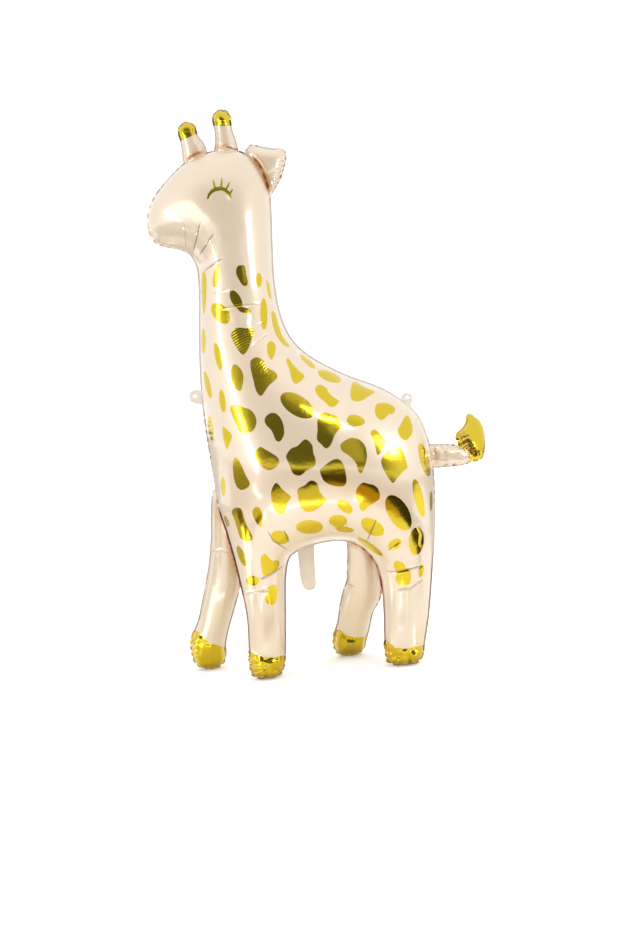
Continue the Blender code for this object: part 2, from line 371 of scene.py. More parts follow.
def film_net(weld, spacing, patches=(), extra=()):
    """Points and triangles that fill the weld line."""
    normal = inward(weld)
    rows = [weld]
    for depth in ROWS:
        row = weld + normal * depth
        row = row[inside(row, weld)]
        rows.append(row[nearest(row, weld)[1] > ROW_HOLDS * depth])
    if len(extra):
        rows.append(extra)
    least = GRID_CLEAR * spacing
    if patches:
        least = PATCH_CLEAR * min(fine for low, high, fine in patches)
    grid = [honeycomb(*patch) for patch in patches]
    grid = np.vstack(grid + [honeycomb(weld.min(axis=0), weld.max(axis=0), spacing)])
    grid = grid[inside(grid, weld)]
    grid = grid[nearest(grid, weld)[1] > ROWS[-1] + GRID_CLEAR * spacing]
    points = thinned(np.vstack(rows + [grid]), len(weld), least)
    return triangles_inside(points, list(range(len(weld))))


# %% [markdown]
# Letting the gas in
#
# A sheet that is held at its rim and pushed from below rises as a stretched skin does: steeply
# beside the rim and flat in the middle. The height is found from one linear equation on the net,
# and its square root gives the round cross section of a real balloon. The equation is solved by
# stepping towards the answer, which is quick because each point only looks at its neighbours.

# %% Lift the film
FULLNESS = 0.90
MOST_STEPS = 3000
CLOSE_ENOUGH = 1e-12   # share of the first error at which the answer counts as found


def gas_lift(points, faces, fixed):
    """Height of the inflated sheet over each point of the net."""
    corner = points[faces]
    run = corner[:, [2, 0, 1]] - corner[:, [1, 2, 0]]
    cross = (run[:, 0, 0] * run[:, 1, 1] - run[:, 0, 1] * run[:, 1, 0])
    area = np.maximum(np.abs(cross) / 2, 1e-6)
    start, end, pull = [], [], []
    for i, j in ((0, 1), (1, 2), (2, 0)):
        start.append(faces[:, i])
        end.append(faces[:, j])
        pull.append(-np.einsum("ij,ij->i", run[:, i], run[:, j]) / (4 * area))
    start, end, pull = map(np.concatenate, (start, end, pull))
    pull = np.maximum(pull, 0)
    count = len(points)
    load = np.bincount(faces.ravel(), np.repeat(2 * area / 3, 3), count)
    held = np.arange(count) < fixed

    def push(height):
        flow = pull * (height[start] - height[end])
        out = np.bincount(start, flow, count) - np.bincount(end, flow, count)
        return np.where(held, 0, out)

    weight = np.bincount(start, pull, count) + np.bincount(end, pull, count) + 1e-9
    height = np.zeros(count)
    rest = np.where(held, 0, load)
    guess = rest / weight
    way, size = guess.copy(), rest @ guess
    first = size
    for step in range(MOST_STEPS):
        change = push(way)
        share = size / (way @ change)
        height += share * way
        rest -= share * change
        guess = rest / weight
        new = rest @ guess
        if new < first * CLOSE_ENOUGH:
            break
        way = guess + way * (new / size)
        size = new
    print("   gas lift found in", step, "steps")
    return FULLNESS * np.sqrt(np.clip(height, 0, None))


# %% [markdown]
# Puckers and creases
#
# Film can't stretch, so where a rounded edge is pulled in by the pressure it gathers into short
# folds that run in from the weld, about 14 mm apart. Where a limb or the neck bends, it folds
# into longer creases. Bump in the material could fake them, but they also notch the outline and
# bend the reflections, so they are pressed into the mesh. Every fold has the same cross section:
# a narrow valley with two low shoulders. Between two gathers the film puffs up and the weld curls
# over, and the shade there is painted into the weld's colour as a dark dash, so each point of the
# weld also gets a painted shade.

# %% Measure how the weld bends
PUCKER_PITCH = 14.0
FOLD_HALF_WIDTH = 1.5
SHOULDER_AT, SHOULDER_HIGH = 2.3, 0.28   # in half widths from the fold, and as a share of its depth
FOLD_ENDS = 5   # half widths from its middle at which a fold has died out
WELD_SHADE_PAINTED_PLAIN = 0.3   # how dark the weld's painted shade is where it runs straight, from 0 to 1
WELD_SHADE_PAINTED_ON_LEGS = 0.85   # the same painted shade on the legs, where the weld curls over


def fold_section(offset, half_width):
    """Depth across a fold: 1 in the valley, a little below 0 on its shoulders."""
    t = np.abs(offset) / half_width
    return np.exp(-t ** 2) - SHOULDER_HIGH * np.exp(-(t - SHOULDER_AT) ** 2)


def outward_bend(loop, step, reach=12.0):
    """Curvature of a closed line in 1/mm, above zero where it bulges, smoothed over a reach in mm."""
    count = max(3, int(reach / step))
    window = np.ones(2 * count + 1) / (2 * count + 1)
    wide = np.vstack([loop[-3 * count:], loop, loop[:3 * count]])
    soft = np.column_stack([np.convolve(wide[:, i], window, "same") for i in (0, 1)])
    pulled = (soft - wide)[3 * count:-3 * count]
    return 6 * np.einsum("ij,ij->i", pulled, inward(loop)) / (count * step) ** 2


def weld_change(points, changes):
    """How much more each point of the weld gathers, and how much of its dark dashes stays."""
    more, kept = np.zeros(len(points)), np.ones(len(points))
    for x, z, reach, extra, share in changes:
        near = np.clip(2 - 2 * np.linalg.norm(points - (x, z), axis=1) / reach, 0, 1)
        more = np.maximum(more, extra * near)
        kept = kept * (1 - (1 - share) * near)
    return more, kept


# %% Gather the weld
STRAIGHT_TIGHT = 0.12   # how tightly straight weld gathers, from 0 to 1
TIGHT_PER_BEND = 45   # how much tighter for each 1/mm of outward bend
TOO_SLACK = 0.04   # tightness below which no fold forms
PITCH_VARIES = (0.75, 1.25)
FOLD_LONG, TIGHT_LONGER, BUNCHED_LONGER, SOLE_LONGER = 5, 12, 2, 16   # how far a fold runs in, mm
FOLD_DEEP, TIGHT_DEEPER, BUNCHED_DEEPER = 0.25, 0.9, 1.0   # mm
BUNCHED_WIDER = 0.9   # share by which bunched folds are wider
TIGHT_PUFF, BUNCHED_PUFF = 0.3, 1.7   # how far the film rises between two gathers, mm
PUFF_REACH, BUNCHED_REACH = 9, 4   # how far in from the weld it does so, mm
DASH_CLEAR = (1.2, 2.6)   # mm between a gather and the ends of the dark dashes beside it
DASH_FADES = 1.2   # mm over which a dash fades at its ends
# range of how dark each dash's painted shade is, from 0 to 1
DASH_SHADE_PAINTED = (0.65, 1.0)


def gather_places(total, pitch, clumped, step, rng):
    """Where the gathers lie along the weld, in mm, a little wider apart where it is bunched."""
    places = [rng.uniform(0, pitch)]
    while places[-1] < total - pitch * 0.7:
        bunch = clumped[int(places[-1] / step) % len(clumped)]
        places.append(places[-1] + pitch * (1 + 0.08 * bunch) * rng.uniform(*PITCH_VARIES))
    return places


def pucker(loop, step, index, distance, pitch, strength, clumped, fold_reach, changes, seed):
    """Gathers beside the weld: their depth at each point of the net, and the pull on the rim.

    Between two gathers the film puffs up, which gives the rim its scallops, and the weld there
    curls over; its shade is painted on as a dark dash. clumped, from 0 to 1 along the line, is
    where the film is bunched tightly, as on the hooves.
    """
    rng = np.random.default_rng(seed)
    normal = inward(loop)
    more, kept = weld_change(loop, changes)
    tight = np.clip(STRAIGHT_TIGHT + outward_bend(loop, step) * TIGHT_PER_BEND, 0, 1) * strength
    tight = np.maximum(np.maximum(tight, more), clumped)
    total = len(loop) * step
    place_along, rim_along = index * step, np.arange(len(loop)) * step
    depth, puff_in = np.zeros((2, len(index)))
    rim, puff_rim, dash = np.zeros((3, len(loop)))
    spots = gather_places(total, pitch, clumped, step, rng)
    for at, following in zip(spots[:-1], spots[1:]):
        spot = int(at / step) % len(loop)
        here, bunch = tight[spot], clumped[spot]
        upward = np.clip(normal[spot, 1], 0, 1)
        longer = TIGHT_LONGER * here + (BUNCHED_LONGER + SOLE_LONGER * upward) * bunch
        length = fold_reach * (FOLD_LONG + longer * rng.uniform(0.5, 1.2))
        deep = FOLD_DEEP + TIGHT_DEEPER * here + BUNCHED_DEEPER * bunch
        deep *= rng.uniform(0.7, 1.2) * min(1, here * 4)
        half_width = FOLD_HALF_WIDTH * (1 + BUNCHED_WIDER * bunch)
        slant = rng.uniform(-0.25, 0.25)
        if here < TOO_SLACK:
            continue
        offset = place_along - at + slant * distance
        offset = (offset + total / 2) % total - total / 2
        near = (np.abs(offset) < FOLD_ENDS * half_width) & (distance < length)
        fade = np.clip(1 - distance[near] / length, 0, 1) ** 0.8
        depth[near] += deep * fade * fold_section(offset[near], half_width)
        offset = (rim_along - at + total / 2) % total - total / 2
        rim += deep * fold_section(offset, half_width)
        rise = TIGHT_PUFF * here + BUNCHED_PUFF * bunch
        for along, puff, reach in ((place_along, puff_in, distance), (rim_along, puff_rim, 0)):
            share = (along - at) / (following - at)
            between = (share > 0) & (share < 1)
            swell = np.sin(np.pi * np.clip(share, 0, 1)) ** 0.6 * rise
            fade = np.exp(-np.asarray(reach) / (PUFF_REACH + BUNCHED_REACH * bunch))
            puff += np.where(between, swell * fade, 0)
        inner = np.minimum(rim_along - at, following - rim_along) - rng.uniform(*DASH_CLEAR)
        dash = np.maximum(dash, np.clip(inner / DASH_FADES, 0, 1) * rng.uniform(*DASH_SHADE_PAINTED))
    bent = np.clip((tight - 0.2) * 2.5, 0, 1)
    return depth, rim, puff_in, puff_rim, kept * bent * dash, 1 - bent


# %% Press in creases and wrinkles
BLOTCH_SIZE = 8   # mm across the darker and paler parts of a crease
WRINKLE_BOW = 0.006   # how far the wrinkles bow, in mm for each mm along them squared


def soft_waves(x, z, size, pattern):
    """Slow unevenness of film that was handled and folded before it was blown up."""
    return np.array([noise.noise(Vector((a / size, b / size, pattern * 7.3))) for a, b in zip(x, z)])


def line_distance(points, line):
    """Distance of each point from an open line, and how far along the line its foot is, 0 to 1."""
    line = np.array(line, float)
    gaps = np.linalg.norm(np.diff(line, axis=0), axis=1)
    along = np.concatenate([[0], np.cumsum(gaps)])
    best = np.full(len(points), 1e9)
    where = np.zeros(len(points))
    for i, (a, b) in enumerate(zip(line[:-1], line[1:])):
        share = np.clip((points - a) @ (b - a) / ((b - a) @ (b - a)), 0, 1)
        gap = np.linalg.norm(points - a - share[:, None] * (b - a), axis=1)
        closer = gap < best
        best[closer] = gap[closer]
        where[closer] = (along[i] + share[closer] * gaps[i]) / along[-1]
    return best, where


def crease(points, strokes):
    """Depth of the long creases at each point, how much painted amber reflection and brown painted shade
    the film gets there, and how much thin grey painted shadow.
    """
    depth, painted_amber_and_brown, line = np.zeros((3, len(points)))
    for stroke, deep, half_width, painted_light_and_shade in strokes:
        gap, where = line_distance(points, stroke)
        near = gap < FOLD_ENDS * half_width
        ends = np.clip(np.minimum(where[near], 1 - where[near]) * 6, 0, 1) ** 0.7
        section = fold_section(gap[near], half_width) * ends
        depth[near] += deep * section
        blotch = np.clip(1 + 0.4 * soft_waves(*points[near].T, BLOTCH_SIZE, painted_light_and_shade), 0.7, 1.15)
        # strokes above zero paint amber reflection and brown shade, those below zero a thin grey shadow
        kind = painted_amber_and_brown if painted_light_and_shade > 0 else line
        kind[near] = np.maximum(kind[near], np.clip(section, 0, 1) * abs(painted_light_and_shade) * blotch)
    return depth, np.clip(painted_amber_and_brown, 0, 1), np.clip(line, 0, 1)


def wrinkle(points, patches):
    """Height of the fine parallel wrinkles at each point."""
    height = np.zeros(len(points))
    for (x, z), (wide, high), slope, pitch, tall in patches:
        aside, over = (points - (x, z)).T
        near = np.clip(1.3 - (aside / wide) ** 2 - (over / high) ** 2, 0, 1)
        angle = math.radians(slope)
        along = aside * math.cos(angle) + over * math.sin(angle)
        across = over * math.cos(angle) - aside * math.sin(angle) + WRINKLE_BOW * along ** 2
        height += tall * near * np.cos(math.tau * across / pitch)
    return height


# %% [markdown]
# The creases of this balloon
#
# Each stroke is a line on the sheet with a depth, a half width and an amount of painted light and
# shade. They sit where film has too much length: under the jaw, where the neck bends, in the
# armpits and at the roots of the lobes. In a deep fold two walls of foil mirror each other, which
# turns the film amber and then brown; this reflection and shade are painted into the colour of
# those strokes. A shallow one only mirrors the dark end of the room, so it gets a thin grey
# painted shade. Strokes without depth are only painted: amber beside the roots of the lobes,
# under the jaw and along the legs, and a painted shadow where the near legs lie over the far
# ones. Upright folds cross each hoof, deepest in its middle.

# %% Draw the creases
FORE_LEG_EDGE = [(-168, 284), (-164, 272), (-151, 235), (-138, 190), (-127, 144), (-121, 118)]
HIND_LEG_EDGE = [(30, 221), (44, 220), (58, 215), (71, 207), (83, 195), (92, 180), (98, 160),
                 (101, 141), (104, 118)]
LEFT_HORN_ROOT = [(-214, 835), (-208, 843), (-200, 848), (-186, 851)]
RIGHT_HORN_ROOT = [(-170, 852), (-164, 860), (-154, 862), (-149, 858)]
RIGHT_HORN_NOTCH = [(-155, 862), (-149, 858), (-142, 856), (-132, 854)]
EAR_ROOT = [(-114, 848), (-107, 840), (-99, 831), (-93, 819), (-88, 805), (-85, 796), (-83, 782)]
HOOF_SIDE_FOLD = (1.2, 3.4, -0.1)   # depth, half width and how much grey painted shade
HOOF_MIDDLE_FOLD = (1.4, 3.8, -0.1)
CREASES = [   # points, depth, half width, and how much painted amber reflection and brown painted shade, or below zero how much thin grey painted shadow
    ([(-220, 737), (-217, 692)], 0.2, 1.3, -0.7),
    ([(-193, 739), (-207, 682)], 0.25, 1.4, -1.0),
    ([(-170, 721), (-198, 679)], 0.25, 1.4, -1.0),
    ([(-190, 656), (-156, 679)], 0.4, 1.4, -1.0),
    # no depth: only a painted amber reflection along the underside of the jaw
    ([(-262, 702), (-249, 697), (-228, 693), (-209, 683), (-198, 659), (-195, 630)], 0.0, 2.6, 0.42),
    ([(-178, 620), (-146, 629)], 0.6, 1.3, -0.5),
    ([(-168, 595), (-130, 602), (-87, 606)], 0.8, 1.4, -0.7),
    ([(-104, 570), (-87, 575)], 0.6, 1.3, -0.5),
    ([(-110, 535), (-92, 550), (-78, 559)], 0.6, 1.3, -0.5),
    ([(-86, 238), (-75, 220), (-58, 209), (-49, 206)], 1.0, 1.5, -0.9),
    ([(-59, 240), (-50, 217)], 0.7, 1.4, -0.9),
    ([(-100, 157), (-80, 166), (-56, 182)], 0.9, 1.5, -0.85),
    ([(-122, 136), (-84, 141)], 0.6, 1.4, -0.5),
    ([(105, 171), (123, 170), (168, 181)], 0.9, 1.5, -0.9),
    ([(120, 141), (146, 145), (168, 160)], 0.6, 1.4, -0.5),
    ([(93, 258), (84, 238), (75, 218)], 0.9, 1.5, -1.0),
    ([(110, 204), (130, 220)], 0.8, 1.4, -0.9),
    ([(40, 258), (44, 238)], 0.6, 1.3, -0.5),
    ([(23, 249), (23, 238)], 0.5, 1.3, -0.5),
    ([(2, 245), (3, 235)], 0.5, 1.3, -0.4),
    # painted amber reflection and brown painted shade along the belly's edge
    ([(-52, 196), (-39, 203), (-19, 212), (13, 220), (44, 220)], 0.3, 1.8, 0.75),
    ([(176, 382), (181, 357), (184, 336)], 0.3, 1.6, 0.8),
    ([(158, 248), (166, 232), (163, 210)], 1.4, 2.6, -0.8),
    # along the near legs' edges: a dark brown painted shade, with a wider painted amber reflection beside
    # it
    (FORE_LEG_EDGE, 0.5, 1.7, 1.9), (FORE_LEG_EDGE, 0.0, 4.0, 0.5),
    (HIND_LEG_EDGE, 0.5, 1.8, 1.15), (HIND_LEG_EDGE, 0.0, 4.0, 0.4),
    (LEFT_HORN_ROOT, 0.8, 2.0, 0.9),
    (RIGHT_HORN_ROOT, 0.6, 2.6, 0.65), (RIGHT_HORN_NOTCH, 0.8, 1.8, 1.0),
    (EAR_ROOT, 0.6, 2.0, 1.05), (EAR_ROOT, 0.0, 7.5, 0.75),
    ([(-104, 38), (-102, 8)], *HOOF_SIDE_FOLD),
    ([(-88, 33), (-89, -2)], *HOOF_MIDDLE_FOLD),
    ([(-71, 33), (-73, 4)], *HOOF_SIDE_FOLD),
    ([(112, 58), (119, 22)], *HOOF_SIDE_FOLD),
    ([(128, 48), (130, 14)], *HOOF_MIDDLE_FOLD),
    ([(148, 48), (146, 18)], 1.3, 3.6, -0.1),
]
# along the near legs' edges the far legs get a painted shadow of the body and its painted amber reflection
FAR_FORE_CREASES = [
    ([(-186, 200), (-160, 206), (-140, 200)], 0.8, 1.6, -0.4),
    (FORE_LEG_EDGE, 0.6, 10.0, 0.58), (FORE_LEG_EDGE, 0.0, 3.2, 1.1),
    ([(-197, 66), (-194, 35)], *HOOF_SIDE_FOLD),
    ([(-184, 59), (-181, 26)], *HOOF_MIDDLE_FOLD),
    ([(-170, 53), (-168, 22)], *HOOF_SIDE_FOLD),
]
FAR_HIND_CREASES = [
    ([(42, 151), (57, 147)], 0.9, 1.7, -0.7),
    (HIND_LEG_EDGE, 0.6, 8.0, 0.58), (HIND_LEG_EDGE, 0.0, 2.6, 0.9),
    ([(36, 73), (34, 44)], *HOOF_SIDE_FOLD),
    ([(50, 66), (49, 38)], *HOOF_MIDDLE_FOLD),
    ([(64, 65), (65, 40)], *HOOF_SIDE_FOLD),
]
LEFT_HORN_CREASES = [(LEFT_HORN_ROOT, 1.3, 2.2, 0.9), (LEFT_HORN_ROOT, 0.0, 6.5, 0.65)]
RIGHT_HORN_CREASES = [(RIGHT_HORN_ROOT, 1.0, 2.6, 0.65), (RIGHT_HORN_NOTCH, 1.3, 2.0, 1.0),
                      (RIGHT_HORN_ROOT, 0.0, 6.0, 0.45)]
EAR_CREASES = [(EAR_ROOT, 1.5, 2.4, 1.05), (EAR_ROOT, 0.0, 8.5, 0.75)]
TAIL_CREASES = [
    ([(184, 376), (188, 358), (187, 340)], 1.5, 3.6, 0.65),
    ([(196, 376), (200, 366)], 0.8, 1.6, 0.4),
    ([(199, 343), (209, 345)], 0.8, 1.6, 0.95),
    ([(214, 343), (221, 346)], 0.8, 1.6, 0.9),
]
TUFT_CREASES = [
    ([(224, 395), (232, 384), (246, 352)], 1.6, 2.4, 0.7),
    ([(229, 398), (240, 388)], 1.2, 2.0, 0.6),
    ([(234, 384), (248, 372)], 1.4, 2.4, 0.6),
    ([(238, 374), (252, 362)], 1.2, 2.2, 0.5),
]
# middle, half size, slope in degrees, pitch and height of each field of fine wrinkles
WRINKLES = [((-126, 549), (24, 26), 25, 4.1, 0.075), ((-94, 500), (14, 16), 50, 4.4, 0.09),
            ((-170, 714), (14, 32), 62, 3.8, 0.12)]
# place, reach, how much more the weld gathers there, and how much of its dark dashes stays
BODY_WELD = [(-183, 388, 62, 0.5, 1.0), (184, 312, 42, 0.45, 1.0), (122, 450, 95, 0.0, 0.3)]
print(len(CREASES), "strokes on the body,", len(WRINKLES), "fields of wrinkles")

# %% [markdown]
# The gold print
#
# Gold spots, hooves, horn tips and the sleepy eye are bare metallised film where the pearl ink
# leaves a gap. They could be separate faces, but a print has no thickness, so each point of the
# net only stores how far inside a mark it lies. The material then cuts a clean edge at zero.
# Small leaf shaped spots need a place, a length, a width and a tilt. Larger ones are drawn.

# %% Draw the spots
LEAF_SPOTS = [   # x, z, half length, half width, tilt, how much wider one end is
    (-168, 651, 21, 4.9, 83, -0.3), (-99, 643, 12, 4.9, 90, 0), (-83, 627, 18, 2.4, 100, 0),
    (-188, 622, 36, 4.1, 90, 0.35), (-136, 611, 17, 8.1, 118, 0), (-122, 594, 11, 4.5, -12, 0),
    (-161, 589, 20, 12.2, -50, 0), (-91, 588, 26, 6.0, 91, 0), (-189, 544, 21, 3.7, 90, 0),
    (-79, 529, 15, 6.8, 90, 0.35), (-165, 519, 23, 5.2, 102, 0), (-20, 511, 17, 4.2, -42, 0),
    (15, 487, 20, 8.1, -22, 0), (-182, 473, 23, 4.4, 103, 0), (-158, 447, 19, 4.9, 97, 0),
    (-37, 440, 31, 16.2, -33, 0), (58, 415, 15, 9.4, -8, -0.2), (167, 408, 22, 4.1, -65, 0),
    (-177, 403, 21, 4.2, 97, 0), (169, 352, 28, 7.3, -75, 0), (-157, 309, 16, 3.7, 93, 0),
    (160, 290, 32, 7.3, -77, 0), (180, 285, 18, 2.3, 90, 0), (40, 276, 15, 8.4, -38, 0),
    (127, 266, 32, 17.0, -60, 0), (-100, 259, 17, 7.3, -75, -0.4), (29, 253, 15, 9.7, 0, 0),
    (-151, 252, 10, 3.2, -70, 0), (85, 243, 21, 12.2, -32, 0), (-17, 243, 22, 11.3, 0, 0),
    (40, 239, 15, 4.9, -8, 0), (-65, 226, 15, 11.0, -15, 0), (156, 220, 23, 12.2, 85, 0),
    (121, 215, 12, 8.1, 35, 0), (81, 211, 25, 5.3, -35, 0), (-127, 196, 18, 5.3, -68, 0),
    (164, 172, 11, 4.4, 80, 0), (-109, 156, 11, 8.1, 0, 0),
]
DRAWN_SPOTS = [
    [(121, 188), (134, 185), (140, 176), (147, 170), (147, 157), (142, 149), (127, 150), (122, 158),
     (124, 168), (120, 177)],
    [(-133, 666), (-126, 667), (-122, 666), (-119, 651), (-117, 637), (-122, 633), (-128, 638),
     (-135, 651), (-136, 659)],
    [(-79, 590), (-73, 590), (-66, 567), (-59, 549), (-49, 536), (-55, 535), (-66, 546), (-75, 564)],
    [(-144, 552), (-141, 561), (-133, 566), (-120, 565), (-112, 566), (-107, 562), (-108, 554),
     (-112, 543), (-117, 530), (-124, 522), (-130, 526), (-138, 538)],
    [(-113, 510), (-112, 497), (-108, 481), (-104, 465), (-97, 455), (-91, 460), (-83, 472), (-70, 484),
     (-70, 491), (-76, 496), (-86, 502), (-92, 513), (-102, 518), (-110, 515)],
    [(-53, 517), (-50, 515), (-42, 504), (-32, 494), (-25, 488), (-29, 481), (-39, 475), (-45, 480),
     (-48, 491), (-51, 502), (-55, 512)],
    [(-139, 507), (-130, 501), (-125, 492), (-124, 483), (-126, 471), (-129, 463), (-136, 467),
     (-143, 481), (-144, 497)],
    [(55, 480), (71, 470), (89, 462), (79, 455), (70, 449), (60, 446), (52, 449), (49, 457), (50, 467)],
    [(-5, 472), (2, 473), (10, 468), (16, 458), (24, 452), (31, 447), (28, 442), (21, 437), (15, 439),
     (6, 447), (-3, 455), (-8, 465)],
    [(91, 441), (99, 444), (110, 443), (118, 439), (122, 433), (118, 426), (112, 426), (107, 421),
     (100, 416), (93, 420), (89, 429)],
    [(-136, 442), (-125, 437), (-113, 433), (-105, 423), (-103, 411), (-110, 398), (-128, 395),
     (-138, 415), (-146, 436)],
    [(-90, 416), (-86, 424), (-78, 428), (-70, 426), (-63, 418), (-59, 407), (-58, 395), (-61, 386),
     (-66, 381), (-72, 384), (-76, 394), (-80, 401), (-87, 408)],
    [(3, 428), (16, 426), (28, 421), (34, 413), (34, 405), (29, 399), (23, 390), (18, 377), (10, 370),
     (2, 377), (-5, 385), (-4, 400), (-4, 416)],
    [(141, 424), (147, 415), (150, 400), (146, 389), (137, 383), (130, 389), (126, 399), (130, 408),
     (134, 416)],
    [(-158, 405), (-151, 401), (-144, 394), (-143, 387), (-147, 377), (-150, 368), (-154, 376),
     (-157, 390)],
    [(83, 399), (89, 401), (96, 395), (104, 385), (107, 382), (102, 371), (96, 360), (92, 361), (90, 371),
     (86, 384), (82, 394)],
    [(33, 376), (39, 382), (49, 387), (60, 386), (70, 379), (75, 368), (76, 356), (73, 343), (67, 330),
     (62, 334), (59, 345), (53, 353), (45, 360), (36, 366)],
    [(-55, 358), (-47, 370), (-37, 374), (-25, 385), (-18, 382), (-12, 374), (-11, 363), (-7, 352),
     (-9, 342), (-22, 334), (-29, 328), (-36, 326), (-44, 330), (-48, 339), (-52, 349)],
    [(99, 350), (107, 364), (120, 374), (133, 368), (139, 352), (142, 339), (134, 332), (125, 322),
     (118, 314), (112, 321), (104, 334)],
    [(-105, 364), (-100, 371), (-96, 373), (-89, 369), (-79, 363), (-70, 357), (-66, 350), (-68, 343),
     (-76, 337), (-84, 335), (-92, 339), (-100, 348), (-105, 358)],
    [(-137, 356), (-131, 350), (-126, 340), (-120, 326), (-114, 316), (-115, 309), (-122, 304),
     (-128, 303), (-134, 307), (-139, 319), (-141, 335), (-141, 348)],
    [(0, 334), (3, 339), (13, 347), (21, 352), (29, 353), (36, 348), (40, 337), (43, 322), (42, 313),
     (37, 309), (26, 309), (15, 312), (6, 318), (2, 326)],
    [(-37, 300), (-34, 306), (-24, 311), (-18, 317), (-10, 318), (-3, 311), (-1, 301), (5, 293), (11, 287),
     (6, 280), (-3, 273), (-13, 268), (-24, 268), (-32, 277)],
    [(58, 300), (62, 309), (70, 315), (78, 313), (87, 311), (94, 305), (97, 295), (96, 288), (87, 282),
     (78, 275), (70, 268), (65, 272), (62, 282), (58, 292)],
    [(-72, 314), (-68, 313), (-60, 303), (-47, 292), (-53, 282), (-57, 267), (-63, 265), (-71, 267),
     (-76, 277), (-79, 290), (-79, 301), (-75, 311)],
    [(-143, 267), (-139, 273), (-130, 274), (-125, 267), (-123, 258), (-118, 245), (-112, 233),
     (-109, 225), (-113, 220), (-123, 220), (-130, 227), (-134, 240), (-138, 253)],
    [(-96, 190), (-94, 197), (-87, 199), (-83, 194), (-77, 188), (-70, 190), (-66, 185), (-68, 177),
     (-76, 170), (-84, 165), (-91, 164), (-94, 173)],
    [(-83, 147), (-71, 149), (-69, 138), (-70, 125), (-75, 117), (-82, 117), (-88, 122), (-90, 130),
     (-86, 134), (-85, 141)],
]
EYE_LID = [(-182, 774), (-180, 781), (-175, 787), (-168, 790.5), (-161, 791.5), (-155, 790),
           (-150, 786), (-146, 781), (-144, 775)]
LASHES = [[(-170, 790), (-173, 805)], [(-160, 791), (-159, 808)], [(-152, 789), (-147, 801)],
          [(-147, 782), (-142, 789)]]
NEAR_FORE_HOOF_LINE = [(-114, 42), (-110, 39), (-100, 35), (-91, 32), (-73, 32), (-62, 35)]
NEAR_HIND_HOOF_LINE = [(105, 62), (110, 57), (117, 52), (123, 47), (138, 46), (151, 47), (168, 52)]
FAR_FORE_HOOF_LINE = [(-198, 75), (-190, 65), (-185, 59), (-177, 55), (-167, 52), (-156, 49)]
FAR_HIND_HOOF_LINE = [(28, 77), (34, 75), (39, 70), (47, 66), (57, 64), (71, 65), (78, 66)]
NOT_PRINTED = -9.0   # depth that stands for a point far outside the print, mm
EYE_LID_HALF, LASH_HALF = 3.3, 1.6   # half widths, mm
EYE_LID_BLUNT, LASH_BLUNT = 0.35, 0.6   # width at a stroke's ends, as a share of its middle
HOOF_LINE_SLACK = 12   # mm that a hoof's line reaches past its ends


def leaf(x, z, long, wide, tilt, blunt):
    """Outline of a leaf shaped spot."""
    turn = np.linspace(0, math.tau, 20, endpoint=False)
    along = np.cos(turn)
    across = np.sin(turn) * (1 + blunt * along)
    angle = math.radians(tilt)
    return np.column_stack([x + long * along * math.cos(angle) - wide * across * math.sin(angle),
                            z + long * along * math.sin(angle) + wide * across * math.cos(angle)])


def loop_depth(points, loop):
    """How far inside a closed line each point is, below zero outside."""
    gap = np.full(len(points), 1e9)
    for a, b in zip(loop, np.roll(loop, -1, 0)):
        share = np.clip((points - a) @ (b - a) / max((b - a) @ (b - a), 1e-9), 0, 1)
        gap = np.minimum(gap, np.linalg.norm(points - a - share[:, None] * (b - a), axis=1))
    return np.where(inside(points, loop), gap, -gap)


def below_line(points, line):
    """How far below a line across the animal each point is, in its stretch of x."""
    xs, zs = np.array(line, float).T
    x, z = points.T
    beneath = (x > xs[0] - HOOF_LINE_SLACK) & (x < xs[-1] + HOOF_LINE_SLACK)
    return np.where(beneath, np.interp(x, xs, zs) - z, -99)


def stroke_depth(points, line, half_width, blunt):
    """How far inside a printed stroke each point is."""
    gap, where = line_distance(points, line)
    return half_width * (blunt + (1 - blunt) * np.sin(np.pi * np.clip(where, 0, 1))) - gap


def body_print(points):
    """Depth inside the gold print over the body, in millimetres."""
    gold = np.full(len(points), NOT_PRINTED)
    loops = [leaf(*row) for row in LEAF_SPOTS] + [smooth_loop(p, 3.0) for p in DRAWN_SPOTS]
    for loop in loops:
        low, high = loop.min(axis=0) + NOT_PRINTED, loop.max(axis=0) - NOT_PRINTED
        near = np.all((points > low) & (points < high), axis=1)
        if near.any():
            gold[near] = np.maximum(gold[near], loop_depth(points[near], loop))
    for line in (NEAR_FORE_HOOF_LINE, NEAR_HIND_HOOF_LINE):
        gold = np.maximum(gold, below_line(points, line))
    gold = np.maximum(gold, stroke_depth(points, EYE_LID, EYE_LID_HALF, EYE_LID_BLUNT))
    for lash in LASHES:
        gold = np.maximum(gold, stroke_depth(points, lash, LASH_HALF, LASH_BLUNT))
    return gold


print(len(LEAF_SPOTS), "leaf spots and", len(DRAWN_SPOTS), "drawn ones")

# %% [markdown]
# From flat film to a closed cell
#
# Each inflated piece is one closed shape: the front film, the back film mirrored behind it, and
# the flat weld that joins them. The body, the two far legs, the horns, the ear, the tail and the
# tuft are all made by this one function. It also stores what the material needs at each point:
# how deep inside the gold print it is, how much painted amber reflection and brown painted shade
# its folds and creases give it, how much grey painted shade a thin crease gives it, and how much
# painted light and painted shade the weld gets.

# %% Shape one side of the film
FILM_THICK = 0.5
UNEVEN = ((0.9, 80, 0), (0.35, 30, 9))   # height and size in mm of the slow waves, and their pattern
UNEVEN_FROM = 20   # mm from the weld at which they are at full height
LEAST_LIFT = 0.3   # share of the gas lift that no fold goes below
FACET_SIZE, LOBE_SIZE = 15, 16   # mm across a facet and a swelling of bunched film
SOLE_REACH = 0.030   # metres over the floor in which the hoof is pressed up by the weight
SOLE_SINK = 0.0015   # metres that the lowest lobe is pressed flat


def eased_in(distance, reach):
    """0 at the weld, rising to 1 at this distance from it."""
    return np.clip(distance / reach, 0, 1)


